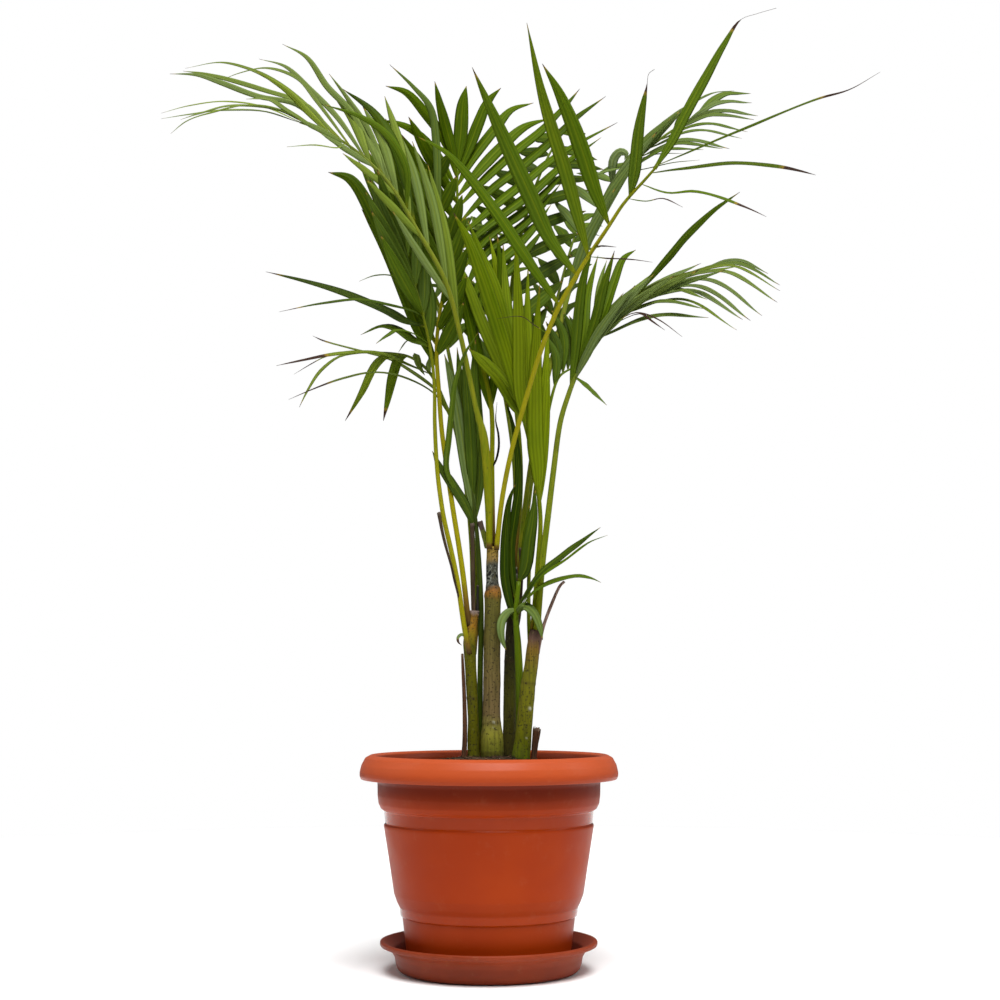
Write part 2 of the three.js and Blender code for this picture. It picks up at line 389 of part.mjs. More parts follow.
        "tips": [[222, 833, 52], [242, 834, 54], [249, 834, 60], [262, 845, 72],
          [268, 852, 86], [275, 865, 104], [279, 869, 126], [273, 883, 150], [272, 893, 172]] },
      { "from": 5.2, "to": 7.8, "count": 5, "wide": 11, "arch": [-0.03, 0.05], "face": [0, 0.5, -1],
        "tips": [[55, 745, 140], [66, 780, 156], [76, 800, 166], [90, 808, 172], [104, 800, 174]] },
      { "from": 4.8, "to": 8, "count": 6, "wide": 13, "arch": [-0.03, 0.03], "face": [0.1, 0.4, -1],
        "tips": [[130, 792, 62], [158, 832, 66], [174, 852, 72], [188, 866, 80], [198, 874, 90],
          [206, 881, 100]] },
    ],
    "singles": [
      { "at": 7, "through": [[127, 810, 92], [129, 824, 90], [136, 831, 88], [142, 828, 86],
        [140, 822, 86]], "wide": 11, "face": [-0.2, 0.2, -1] },
      { "at": 7.6, "through": [[128, 812, 84], [114, 808, 80], [100, 802, 76]], "wide": 6,
        "face": [0, 1, -0.8] },
      { "at": 7.9, "through": [[175, 828, 112], [200, 829, 110]], "wide": 6, "face": [0, 1, -0.3] },
      { "at": 7.5, "through": [[160, 812, 100], [190, 819, 96], [218, 822, 92]], "wide": 5,
        "face": [0, 1, -0.3] },
      { "at": 9.2, "through": [[196, 866, 120], [214, 884, 118], [232, 893, 116], [255, 896, 114]],
        "wide": 10, "face": [0, 1, -0.6] },
    ] },
  "frond_low_right": { "seat": "cane_right", "radii": [2, 1.9, 0.9], "look": "dark",
    "stalk": [[42, 300, -9], [40, 350, 3], [41, 410, 20], [47, 480, 40], [57, 540, 56], [63, 570, 62],
      [70, 592, 66], [80, 601, 70], [92, 605, 74]],
    "rows": [
      { "from": 5.6, "to": 8, "count": 6, "wide": 10, "arch": [0.1, 0.06], "face": [-0.2, 0.3, -1],
        "tips": [[60, 636, 66], [58, 652, 70], [64, 664, 74], [70, 664, 78], [76, 662, 82],
          [82, 658, 86]] },
    ],
    "singles": [] },
  "frond_centre_young": { "seat": "cane_right", "radii": [2.6, 2.2, 1.2], "look": "bright",
    "stalk": [[42, 320, -9.5], [46, 360, -6], [49, 400, -4], [52, 440, -4], [50.5, 470, -3],
      [46.5, 500, -3], [40, 530, -3], [34, 552, -3], [24, 580, -3]],
    "rows": [],
    "singles": [
      { "at": 7.6, "through": [[22, 602, -12], [8, 650, -28], [-8, 700, -44], [-22, 738, -56],
        [-37, 766, -64]], "wide": 16, "face": [0.1, 0.4, -1] },
      { "at": 7.2, "through": [[27, 600, 0], [16, 650, -4], [4, 692, -8], [-8, 722, -12],
        [-22, 758, -16]], "wide": 15, "face": [0.2, 0.4, -1] },
      { "at": 6.6, "through": [[31, 580, -8], [30, 630, -20], [29, 680, -30], [27, 745, -42]], "wide": 13,
        "face": [0, 0.2, -1] },
      { "at": 4.1, "through": [[49, 498, -7], [46, 530, -12], [46, 580, -22], [48, 635, -32],
        [52, 692, -40]], "wide": 17, "face": [-0.2, 0.2, -1] },
      { "at": 3.8, "through": [[52.5, 500, 2], [55.5, 535, 9], [58, 585, 20], [60, 650, 34]],
        "wide": 14, "face": [0.2, 0.2, -1] },
      { "at": 7.0, "through": [[26, 565, 4], [10, 592, 6], [-8, 610, 8], [-22, 625, 10]], "wide": 13,
        "face": [0, 0.4, -1] },
      { "at": 8, "through": [[13, 596, -9], [-3, 612, -12], [-17, 622, -14]], "wide": 9,
        "face": [0, 0.8, -1] },
      { "at": 7.4, "through": [[14, 602, 6], [-6, 650, 6], [-24, 695, 4], [-42, 730, 2]], "wide": 15,
        "face": [0.2, 0.4, -1] },
      { "at": 6.9, "through": [[25, 600, 12], [17, 650, 22], [9, 700, 30], [0, 742, 36]], "wide": 13,
        "face": [0.1, 0.3, -1] },
      { "at": 6.3, "through": [[33, 590, 12], [23, 640, 24], [17, 690, 34], [14, 735, 42]], "wide": 12,
        "face": [0, 0.3, -1] },
      { "at": 5.5, "through": [[43, 560, 8], [41, 610, 18], [39, 660, 26], [40, 712, 32]], "wide": 11,
        "face": [-0.1, 0.3, -1] },
    ] },
  "frond_back_centre": { "seat": "cane_back", "radii": [2.6, 2.4, 1], "look": "dark",
    "stalk": [[20.5, 361, 18.5], [29, 430, 35], [32, 500, 52], [27, 570, 68], [20, 640, 84], [26, 710, 100],
      [40, 770, 118], [56, 815, 138], [74, 850, 160]],
    "rows": [
      { "from": 3.6, "to": 8, "count": 10, "wide": 15, "arch": [0.04, 0.04], "face": [0.2, 0.4, -1],
        "tips": [[60, 668, 130], [76, 695, 142], [86, 722, 154], [94, 745, 166], [100, 768, 176],
          [104, 790, 186], [112, 802, 194], [118, 812, 200], [112, 822, 202], [100, 850, 200]] },
      { "from": 3.6, "to": 7.8, "count": 10, "wide": 15, "arch": [-0.04, 0.04], "face": [-0.2, 0.4, -1],
        "tips": [[-26, 672, 50], [-30, 700, 56], [-28, 728, 64], [-24, 752, 76], [-16, 775, 90],
          [-8, 795, 106], [2, 812, 124], [14, 822, 142], [30, 830, 160], [44, 845, 178]] },
    ],
    "singles": [] },
  "frond_rear_high": { "seat": "cane_back", "radii": [2.8, 2.4, 1], "look": "dark",
    "stalk": [[21.5, 326, 19], [22, 366, 32], [26, 430, 56], [26, 500, 86], [17, 570, 122],
      [3, 640, 170], [-8, 700, 226],
      [-14, 740, 286], [-18, 762, 350]],
    "rows": [
      { "from": 4.4, "to": 8, "count": 9, "wide": 13, "arch": [0.02, 0.1], "face": [0.2, 1, -0.3],
        "tips": [[44, 622, 190], [58, 650, 220], [66, 676, 252], [68, 694, 284], [66, 706, 314],
          [60, 714, 344], [50, 718, 372], [38, 722, 396], [24, 726, 416], [8, 730, 430],
          [-10, 738, 440]] },
      { "from": 4.4, "to": 7.9, "count": 9, "wide": 13, "arch": [-0.02, 0.1], "face": [-0.2, 1, -0.3],
        "tips": [[-40, 655, 190], [-56, 668, 220], [-72, 684, 252], [-84, 698, 284], [-90, 710, 314],
          [-88, 718, 344], [-80, 724, 372], [-70, 728, 396], [-56, 732, 416], [-40, 736, 430],
          [-26, 742, 438]] },
    ],
    "singles": [] },
  "frond_rear_right": { "seat": "cane_back", "radii": [2.4, 2.1, 1], "look": "dark",
    "stalk": [[26, 322, 18.5], [31, 376, 34], [38, 446, 60], [47, 520, 94], [54, 590, 132],
      [64, 650, 172], [76, 700, 214], [86, 735, 256], [92, 755, 300]],
    "rows": [
      { "from": 4.4, "to": 8, "count": 8, "wide": 13, "arch": [0, 0.08], "face": [0.3, 1, -0.3],
        "tips": [[78, 650, 150], [92, 674, 186], [100, 694, 220], [106, 712, 252], [110, 728, 282],
          [114, 742, 310], [117, 752, 334], [116, 764, 352]] },
      { "from": 4.6, "to": 7.9, "count": 7, "wide": 13, "arch": [0, 0.08], "face": [-0.3, 1, -0.3],
        "tips": [[38, 664, 166], [44, 694, 200], [50, 718, 232], [58, 738, 264], [66, 754, 294],
          [76, 766, 322], [88, 774, 346]] },
    ],
    "singles": [] },
  "frond_rear_left": { "seat": "cane_left", "radii": [2.6, 2.2, 1], "look": "dark",
    "stalk": [[-15.5, 312, 4], [-12, 352, 17], [-14, 400, 32], [-20, 460, 52], [-28, 530, 74],
      [-38, 600, 106],
      [-50, 655, 142], [-64, 700, 182], [-78, 732, 224], [-92, 752, 266]],
    "rows": [
      { "from": 5.4, "to": 9, "count": 8, "wide": 13, "arch": [0, 0.08], "face": [0.3, 1, -0.3],
        "tips": [[-20, 652, 180], [-16, 686, 210], [-18, 714, 242], [-24, 734, 272], [-34, 748, 300],
          [-46, 758, 324], [-60, 764, 342], [-74, 766, 356], [-88, 766, 364], [-100, 764, 370]] },
      { "from": 5.8, "to": 8.9, "count": 7, "wide": 13, "arch": [0, 0.06], "face": [-0.3, 1, -0.3],
        "tips": [[-88, 682, 150], [-98, 706, 176], [-106, 726, 206], [-112, 742, 236], [-116, 754, 266],
          [-118, 762, 294], [-118, 766, 320], [-116, 768, 342], [-110, 768, 358]] },
    ],
    "singles": [] },
};

// Small seeded random source, for the slight unevenness of the leaflets

function randomSource(seed) {
  let state = seed;
  return () => {
    state = (state * 1664525 + 1013904223) % 4294967296;
    return state / 4294967296;
  };
}

// Solids

function solidOf(geometry) {
  const bare = geometry.clone();
  bare.deleteAttribute('normal');
  bare.deleteAttribute('uv');
  const merged = mergeVertices(bare, 1e-4);
  const vertProperties = new Float32Array(merged.attributes.position.array);
  const triVerts = new Uint32Array(merged.index.array);
  return new wasm.Manifold(new wasm.Mesh({ numProp: 3, vertProperties, triVerts }));
}

function geometryOf(solid) {
  const mesh = solid.getMesh();
  const geometry = new THREE.BufferGeometry();
  geometry.setAttribute('position', new THREE.BufferAttribute(mesh.vertProperties, 3));
  geometry.setIndex(new THREE.BufferAttribute(mesh.triVerts, 1));
  return geometry;
}

function turned(profile, sides) {
  const points = profile.map(([radius, height]) => new THREE.Vector2(radius, height));
  return new THREE.LatheGeometry(points, sides).rotateX(Math.PI / 2);
}

// Skin over rings of points, closed by a flat start and by a flat end or a point

function loft(rings, tip = null) {
  const sides = rings[0].length;
  const points = tip ? [...rings.flat(), tip] : rings.flat();
  const triangles = [];
  for (let side = 2; side < sides; side++) {
    triangles.push([0, side, side - 1]);
  }
  for (let ring = 1; ring < rings.length; ring++) {
    for (let side = 0; side < sides; side++) {
      const next = (side + 1) % sides;
      const [low, high] = [(ring - 1) * sides, ring * sides];
      triangles.push([low + side, low + next, high + next], [low + side, high + next, high + side]);
    }
  }
  const last = (rings.length - 1) * sides;
  for (let side = tip ? 0 : 2; side < sides; side++) {
    triangles.push(tip ? [last + side, last + (side + 1) % sides, points.length - 1]
      : [last, last + side - 1, last + side]);
  }
  const geometry = new THREE.BufferGeometry().setFromPoints(points);
  geometry.setIndex(triangles.flat());
  const solid = solidOf(geometry);
  if (solid.volume() > 0) return solid;
  geometry.setIndex(triangles.map(([a, b, c]) => [a, c, b]).flat());
  return solidOf(geometry);
}

// Round rod through centres with their own radii, grown all round by extra

function rod(centres, radii, sides, extra = 0) {
  const ends = centres.map((centre) => centre.clone());
  const last = ends.length - 1;
  ends[0].addScaledVector(centres[0].clone().sub(centres[1]).normalize(), extra);
  ends[last].addScaledVector(centres[last].clone().sub(centres[last - 1]).normalize(), extra);
  const rings = ends.map((centre, index) => {
    const before = ends[Math.max(index - 1, 0)];
    const after = ends[Math.min(index + 1, last)];
    const along = after.clone().sub(before).normalize();
    const side = along.clone().cross(new THREE.Vector3(0, 1, 0)).normalize();
    const front = side.clone().cross(along);
    return Array.from({ length: sides }, (_, step) => {
      const angle = (2 * Math.PI * step) / sides;
      return centre.clone()
        .addScaledVector(side, Math.cos(angle) * (radii[index] + extra))
        .addScaledVector(front, Math.sin(angle) * (radii[index] + extra));
    });
  });
  return loft(rings);
}

function caneSolid(points, extra = 0) {
  const centres = points.map(([across, up, back]) => place([across, up, back]));
  return rod(centres, points.map((point) => point[3]), CANE_SIDES, extra);
}

// Stalk radii are spaced evenly along the stalk

function stalkRadius(radii, share) {
  const along = share * (radii.length - 1);
  const step = Math.min(Math.floor(along), radii.length - 2);
  return THREE.MathUtils.lerp(radii[step], radii[step + 1], along - step);
}

function stalkCurve(stalk) {
  return new THREE.CatmullRomCurve3(stalk.map(place), false, 'catmullrom', 0.5);
}

function stalkSolid(frond, extra = 0) {
  const curve = stalkCurve(frond.stalk);
  const steps = Math.round((frond.stalk.length - 1) * 1.0);
  const shares = Array.from({ length: steps + 1 }, (_, step) => step / steps);
  const radii = shares.map((share) => stalkRadius(frond.radii, share));
  return rod(shares.map((share) => curve.getPoint(share)), radii, STALK_SIDES, extra);
}

// Leaflet: a narrow blade with a raised rib, root inside the stalk and a fine point

const ROW_STATIONS = [[0.2, 0.8], [0.6, 0.95]];
const SINGLE_STATIONS = [[0.14, 0.62], [0.38, 1], [0.7, 0.78]];
const OUTER_START = 0.3;        // share of a leaflet's length from which it keeps off its siblings

function leafletSolid(leaflet, extra = 0, start = 0) {
  const curve = new THREE.CatmullRomCurve3(leaflet.route, false, 'centripetal');
  const ring = (share, halfWidth) => {
    const centre = curve.getPoint(share);
    const side = curve.getTangent(share).cross(leaflet.face).normalize();
    const over = side.clone().cross(curve.getTangent(share)).normalize();
    return [
      centre.clone().addScaledVector(side, -halfWidth - extra).addScaledVector(over, -extra),
      centre.clone().addScaledVector(over, LEAF_THICKNESS + extra),
      centre.clone().addScaledVector(side, halfWidth + extra).addScaledVector(over, -extra),
    ];
  };
  const long = leaflet.route.length > 3 && curve.getLength() > 105;
  const all = long ? SINGLE_STATIONS : ROW_STATIONS;
  const stations = all.filter(([share]) => share > start);
  const rings = stations.map(([share, width]) => ring(share, width * leaflet.width / 2));
  return loft([ring(start, start ? leaflet.width * 0.45 : leaflet.root), ...rings], curve.getPoint(1));
}

// Routes of a frond's leaflets, from rows of tips or from single hand-set routes

function leafletsOf(frond, random) {
  const curve = stalkCurve(frond.stalk);
  const reach = frond.stalk.length - 1;
  const leaflets = [];
  const add = (at, route, width, face) => {
    const root = stalkRadius(frond.radii, at / reach) * 0.55;
    const turn = heading(face).add(new THREE.Vector3(random(), random(), random())
      .subScalar(0.5).multiplyScalar(0.08));
    leaflets.push({ route, width: width * (0.94 + 0.12 * random()), face: turn.normalize(), root });
  };
  for (const row of frond.rows) {
    const tips = new THREE.CatmullRomCurve3(row.tips.map(place), false, 'catmullrom', 0.5);
    for (let index = 0; index < row.count; index++) {
      const share = row.count > 1 ? index / (row.count - 1) : 0;
      const at = THREE.MathUtils.lerp(row.from, row.to, share);
      const base = curve.getPoint(at / reach);
      const tip = row.tips.length > 1 ? tips.getPoint(share) : place(row.tips[0]);
      const middle = base.clone().lerp(tip, 0.5);
      const length = base.distanceTo(tip);
      middle.x += row.arch[0] * length;
      middle.z += row.arch[1] * length;
      add(at, [base, middle, tip], row.wide, row.face);
    }
  }
  for (const one of frond.singles) {
    add(one.at, [curve.getPoint(one.at / reach), ...one.through.map(place)], one.wide, one.face);
  }
  return leaflets;
}

// Moves a leaflet nearer to the eye or further from it, more towards its tip

function shifted(leaflet, distance) {
  const last = leaflet.route.length - 1;
  const route = leaflet.route.map((point, index) => {
    const sight = point.clone().sub(EYE).normalize();
    return point.clone().addScaledVector(sight, distance * Math.sqrt(index / last));
  });
  return { ...leaflet, route };
}

function boxesMeet(first, second) {
  return [0, 1, 2].every((axis) => first.min[axis] < second.max[axis]
    && second.min[axis] < first.max[axis]);
}

// Solids already placed, with the node that they belong to

const placed = [];

function keep(owner, solid) {
  placed.push({ owner, solid, box: solid.boundingBox() });
}

function crossings(solid, rivals) {
  const box = solid.boundingBox();
  return rivals.filter((other) => boxesMeet(box, other.box) && !solid.intersect(other.solid).isEmpty());
}

const SHIFTS = [0, 7, -7, 14, -14, 22, -22, 32, -32, 45, -45, 60, -60];

// A leaflet clear of every other node and, where it can be, of its siblings' outer lengths

function clearLeaflet(owner, leaflet, siblings) {
  const others = placed.filter((piece) => piece.owner !== owner);
  let second = null;
  for (const distance of SHIFTS) {
    const moved = shifted(leaflet, distance);
    if (crossings(leafletSolid(moved, CLEARANCE), others).length) continue;
    if (!crossings(leafletSolid(moved, 0.2, OUTER_START), siblings).length) return moved;
    second ??= moved;
  }
  return second;
}

function largestBody(solid) {
  return solid.decompose().reduce((most, body) => (body.volume() > most.volume() ? body : most));
}

// The palm, its pot and its saucer

function material(colour, roughness) {
  return new THREE.MeshStandardMaterial({ color: colour, roughness, metalness: 0 });
}

const POT_LOOK = material(0xb5532f, 0.45);
const SAUCER_LOOK = material(0x8c3e2d, 0.5);
const SOIL_LOOK = material(0x2a1d14, 0.95);
const CANE_LOOK = material(0x6f6f3c, 0.7);
const DRY_LOOK = material(0x4c3424, 0.85);
const LEAF_LOOKS = {
  dark: material(0x3f6410, 0.5),
  grey: material(0x6c8a3c, 0.5),
  bright: material(0x6b9414, 0.45),
};

const group = new THREE.Group();

function addNode(name, solid, look) {
  const mesh = new THREE.Mesh(geometryOf(solid), look);
  mesh.name = name;
  group.add(mesh);
}

function potSolid() {
  let pot = solidOf(turned(POT_PROFILE, POT_SIDES));
  for (let hole = 0; hole < DRAIN_HOLES; hole++) {
    const angle = (2 * Math.PI * hole) / DRAIN_HOLES;
    const drill = new THREE.CylinderGeometry(DRAIN_RADIUS, DRAIN_RADIUS, 20, 12)
      .rotateX(Math.PI / 2)
      .translate(DRAIN_CIRCLE * Math.cos(angle), DRAIN_CIRCLE * Math.sin(angle), POT_BOTTOM);
    pot = pot.subtract(solidOf(drill));
  }
  return pot;
}

addNode('saucer', solidOf(turned(SAUCER_PROFILE, POT_SIDES)), SAUCER_LOOK);
addNode('pot', potSolid(), POT_LOOK);

// Each cane, stalk and stub is also kept a little larger, to cut the room that its neighbours
// leave round it: the hole in the soil, and the socket of a stalk that grows from a cane

const grown = {};
let soil = solidOf(turned(SOIL_PROFILE, SOIL_SIDES));

for (const [name, points] of Object.entries(CANES)) {
  const cane = caneSolid(points);
  grown[name] = caneSolid(points, CLEARANCE);
  soil = soil.subtract(grown[name]);
  keep(name, cane);
  addNode(name, cane, CANE_LOOK);
}

const stalks = {};
for (const [name, stem] of Object.entries({ ...FRONDS, ...STUBS })) {
  let stalk = stalkSolid(stem);
  grown[name] = stalkSolid(stem, CLEARANCE);
  if (stem.seat === 'soil') soil = soil.subtract(grown[name]);
  else stalk = largestBody(stalk.subtract(grown[stem.seat]));
  stalks[name] = stalk;
  keep(name, stalk);
}

addNode('soil', soil, SOIL_LOOK);
for (const name of Object.keys(STUBS)) addNode(name, stalks[name], DRY_LOOK);

const random = randomSource(SEED);
for (const [name, frond] of Object.entries(FRONDS)) {
  const siblings = [];
  let whole = stalks[name];
  for (const leaflet of leafletsOf(frond, random)) {
    const clear = clearLeaflet(name, leaflet, siblings);
    if (!clear) continue;
    const outer = leafletSolid(clear, 0, OUTER_START);
    siblings.push({ solid: outer, box: outer.boundingBox() });
    const blade = leafletSolid(clear);
    keep(name, blade);
    whole = whole.add(blade);
  }
  addNode(name, largestBody(whole), LEAF_LOOKS[frond.look]);
}

export default group;
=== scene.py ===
"""A potted areca palm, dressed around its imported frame. Metres, +Z up, front towards -Y."""

import math
from collections import namedtuple
from functools import partialmethod
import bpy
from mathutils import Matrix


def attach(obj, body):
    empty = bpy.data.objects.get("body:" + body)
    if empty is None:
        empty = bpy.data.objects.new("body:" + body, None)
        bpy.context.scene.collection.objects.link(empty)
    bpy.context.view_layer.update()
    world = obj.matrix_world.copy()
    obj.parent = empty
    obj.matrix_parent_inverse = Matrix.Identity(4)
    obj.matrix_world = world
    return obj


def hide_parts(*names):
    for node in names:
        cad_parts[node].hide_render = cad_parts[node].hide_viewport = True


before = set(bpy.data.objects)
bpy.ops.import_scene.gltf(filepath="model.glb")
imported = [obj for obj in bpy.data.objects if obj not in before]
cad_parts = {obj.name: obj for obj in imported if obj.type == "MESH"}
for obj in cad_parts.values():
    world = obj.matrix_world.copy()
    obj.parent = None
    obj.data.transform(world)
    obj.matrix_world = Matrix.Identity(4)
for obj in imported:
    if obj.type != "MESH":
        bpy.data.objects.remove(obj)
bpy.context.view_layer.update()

from types import SimpleNamespace

import bmesh
import bpy
import numpy as np
from mathutils import Vector, noise
from mathutils.bvhtree import BVHTree

# Sizes in millimetres, as in the solids

MM = 0.001
CLEARANCE = 0.3
POT_FLOOR = 4.2
SAUCER_FLOOR = 3
POT_BOTTOM = SAUCER_FLOOR + CLEARANCE
DRAIN_HOLES = 5
DRAIN_RADIUS = 6
DRAIN_CIRCLE = 50
SHEET = 0.45  # thickness of a leaflet's blade
RIB = 1.2  # height of its folded rib over its edges
THREAD = 0.22  # half the width of its thinnest end
ROW_PEAK, SINGLE_PEAK = 0.42, 0.38  # the share of its length where it is broadest
ROOT = 0.55  # half its width at the root, as a share of the stalk's radius there

SEED = 20
LATHE_SIDES, SOIL_SIDES, CANE_SIDES, STUB_SIDES, STALK_SIDES = 160, 96, 44, 20, 12
SOIL_RINGS = 44
SOIL_CHIPS, CHIP_REACH = 900, 104  # bark, crumbs and grains, and how far out they lie
CANE_STEP = 1.5  # height from ring to ring of a cane's skin
STUB_STEPS = 39  # lengths of a stub's skin
STALK_STEPS = 6  # lengths of a stalk's skin between two of its points

# The eye in front of the plant, from which the points below are seen

EYE = np.array([11.0, -1768.0, 286.0])
EYE_PITCH = 5.87  # degrees above level
LENS, SENSOR = 63, 36  # the camera's, not the plant's, millimetres

# Profiles of the turned pieces, as (radius, height)

SAUCER_PROFILE = [
    (0, 0), (82, 0), (87.5, 1), (90.5, 4), (92, 9), (93, 15), (96, 20.5), (102, 24), (107.5, 26),
    (107.5, 30), (104, 30.5), (98.5, 27), (93, 23), (90, 15), (86.5, SAUCER_FLOOR), (0, SAUCER_FLOOR),
]
POT_PROFILE = [
    (0, POT_BOTTOM), (78, POT_BOTTOM), (79.6, POT_BOTTOM + 2), (85.6, 54), (87.4, 54.8), (88.4, 63),
    (91, 68), (94, 76), (104.2, 141), (104.2, 143.4), (102.8, 144.6), (104, 157), (107.4, 159.2),
    (109.8, 164), (110.9, 172), (111.2, 183.6), (116, 203), (122, 204), (126, 198), (126.2, 188),
    (127.6, 188), (129, 191), (129, 195), (127.4, 202), (123.6, 209), (118, 212), (113, 210),
    (110.6, 205), (107.4, 183.6), (81.8, 54), (74.8, POT_BOTTOM + POT_FLOOR), (0, POT_BOTTOM + POT_FLOOR),
]
SOIL_TOP = [(0, 210), (36, 208.5), (62, 203), (97, 197), (107.9, 193)]
SOIL_SIDE = [(106.6, 183.6), (81.1, 54), (74.1, POT_BOTTOM + POT_FLOOR + CLEARANCE)]

# Where the pot takes another material: lower edge, upper edge, least radius and the material's slot

BANDS = [(54.7, 63.2, 86, 1), (144.5, 157.3, 101.5, 1), (187, 213, 111.5, 2)]

# The stems are tables, in which each line starts with what its numbers are:
#   stem: its node; the lines after it are this stem's
#   look: tone from dark to bright, partly the leaves' own colour and partly painted light and shade;
#     grey sheen from clear to grey, which is a painted sheen; how yellow the stalk is; and the share of the
#     stalk that is brown from the foot up
#   radii, stalk: the radii along the stalk, and its points (across, up and back, one after the other). A
#     cane's points have its radius as a fourth number
#   rings, collar: the heights of a cane's ring scars, and the lower edge, upper edge and thickness of the
#     torn collar left by a fallen sheath
#   knobs: knobs on the bark: turn in degrees, height and size
#   bark: its colours from the soil upwards: height, red, green, blue
#   row: a row of leaflets: from, to, how many, width, upper side (3 numbers), arch (2), and the points of
#     the line of its tips
#   leaf: a single leaflet: at, width, upper side (3), and the points that it passes through
#   tint: the tone and the painted grey sheen of the leaf before, where they differ from the others
#   dry: the share of the leaf before that is withered, then for some the breadth of a shrivelled end
#     that stays broad, and the points of a thread that it ends in
# From, to and at count along the stalk's points. The upper side is the direction that it faces.

def stems_of(table):
    """The stems of a table. A line that starts with a space goes on with the line before."""
    stems = {}
    for line in table.strip().replace("\n  ", " ").split("\n"):
        kind, *words = line.split()
        if kind == "stem":
            stem = stems[words[0]] = SimpleNamespace(row=[], leaf=[], tint={}, dry={}, knobs=[],
                                                     collar=(0, 0, 0))
            continue
        numbers = [float(word) for word in words]
        if kind in ("row", "leaf"):
            getattr(stem, kind).append(numbers)
        elif kind in ("tint", "dry"):
            getattr(stem, kind)[len(stem.leaf) - 1] = numbers
        else:
            setattr(stem, kind, numbers)
    return stems


CANES = stems_of("""
stem cane_main
stalk 3.2 150 0 9 3.2 205 0 11 3.2 219 0 11.6 3 231 0 10.9 2.4 243 0 9.3 2.4 258 0 8.7 2.8 280 0 8.7
  3 320 0 8.5 3.6 362 0 8.2 4 376 0 8.7 3.4 379.5 0 6.4 3 392 0 6 3.2 406 0 6.1 3.6 420 0 6
rings 214 243
collar 368 377 0.3
knobs -104 244 0.9 -101 239 0.6 -118 241 0.5
bark 205 0.12 0.09 0.03 215 0.15 0.16 0.014 232 0.26 0.25 0.03 244 0.19 0.165 0.04 253 0.18 0.125 0.05
  300 0.14 0.105 0.032 345 0.1 0.09 0.018 366 0.12 0.105 0.02 374 0.28 0.115 0.018 382 0.055 0.055 0.045
  401 0.075 0.075 0.055 407 0.26 0.17 0.05 423 0.3 0.2 0.025
stem cane_left
stalk -15.6 150 0 5.2 -15.6 207 0 6.2 -15.6 222 0 5.9 -16 250 0 5.4 -18.6 300 0 5.8 -19.6 322 0 6.6
  -18 338 0 5.8 -15.4 348 0 4.2 -14.6 356 0 3.9
rings 268
collar 349.5 355 0.9
bark 205 0.22 0.17 0.035 215 0.1 0.1 0.002 318 0.095 0.092 0.002 330 0.2 0.15 0.008 340 0.27 0.13 0.012
  349 0.22 0.115 0.015 352 0.21 0.15 0.12 356 0.24 0.18 0.16
stem cane_back
stalk 20 150 16 6.5 20.5 250 16 6.5 21.3 300 16 6.3 22.4 340 16 5.3 24 372 16 5 24.2 400 16 4.7
rings 305
bark 205 0.06 0.05 0.01 270 0.07 0.07 0.006 310 0.022 0.022 0.008 345 0.035 0.028 0.012
  385 0.075 0.05 0.015
stem cane_right
stalk 28 150 -14 8 31.4 206 -14 9.4 33.6 222 -14 8.4 35.2 240 -14 8 39 280 -14 7.5 42.4 300 -14 6.9
  45.3 325 -14 6.2 47 336 -14 5.2
rings 283
collar 326 333 0.5
knobs -122 258 1.2 -112 229 0.7
bark 205 0.085 0.12 0.002 240 0.14 0.14 0.004 292 0.14 0.135 0.008 316 0.19 0.11 0.015
  328 0.13 0.07 0.05 336 0.07 0.04 0.03
""")

# Dry leftovers of older leaves

STUBS = stems_of("""
stem stub_cut_top
radii 2.2 2.6 2.7
stalk -2 419 3 -6 434 3 -9.5 446 3
stem stub_brown_tall
radii 2.1 2.2 2
stalk -15.6 353 -2 -16.2 380 -3 -16.7 410 -4 -17.1 444 -4.5
stem stub_black
radii 1.3 1.3 1.2
stalk -11.9 350 -2 -11.8 366 -2 -11.6 381 -2
stem stub_back
radii 1.6 1.6 2.2
stalk 24.5 322 14 30.5 350 9 32.6 380 8 32.4 402 8 32.3 419 8
stem stub_right_thin
radii 1.7 1.7 1.3
stalk 49 312 -15 53.2 334 -17 61 357 -18 70 378 -19 76 385 -19
stem stub_left_cut
radii 1 1.2 1.9
stalk -30 366 -10 -34 382 -15 -38.6 402 -17 -46.4 430 -17 -51.3 455 -17
stem stub_snapped
radii 2.4 2.7 3.8
stalk 43 170 -10 44.5 207 -10 48 237 -10
stem sheath_dry
radii 2.9 2.3 1.2
stalk -25 170 -1 -25 207 -1 -24.5 224 -1 -24.3 242 -1 -24.7 264 -1 -26 292 -1 -27 312 -1
""")

# Fronds and leafy shoots

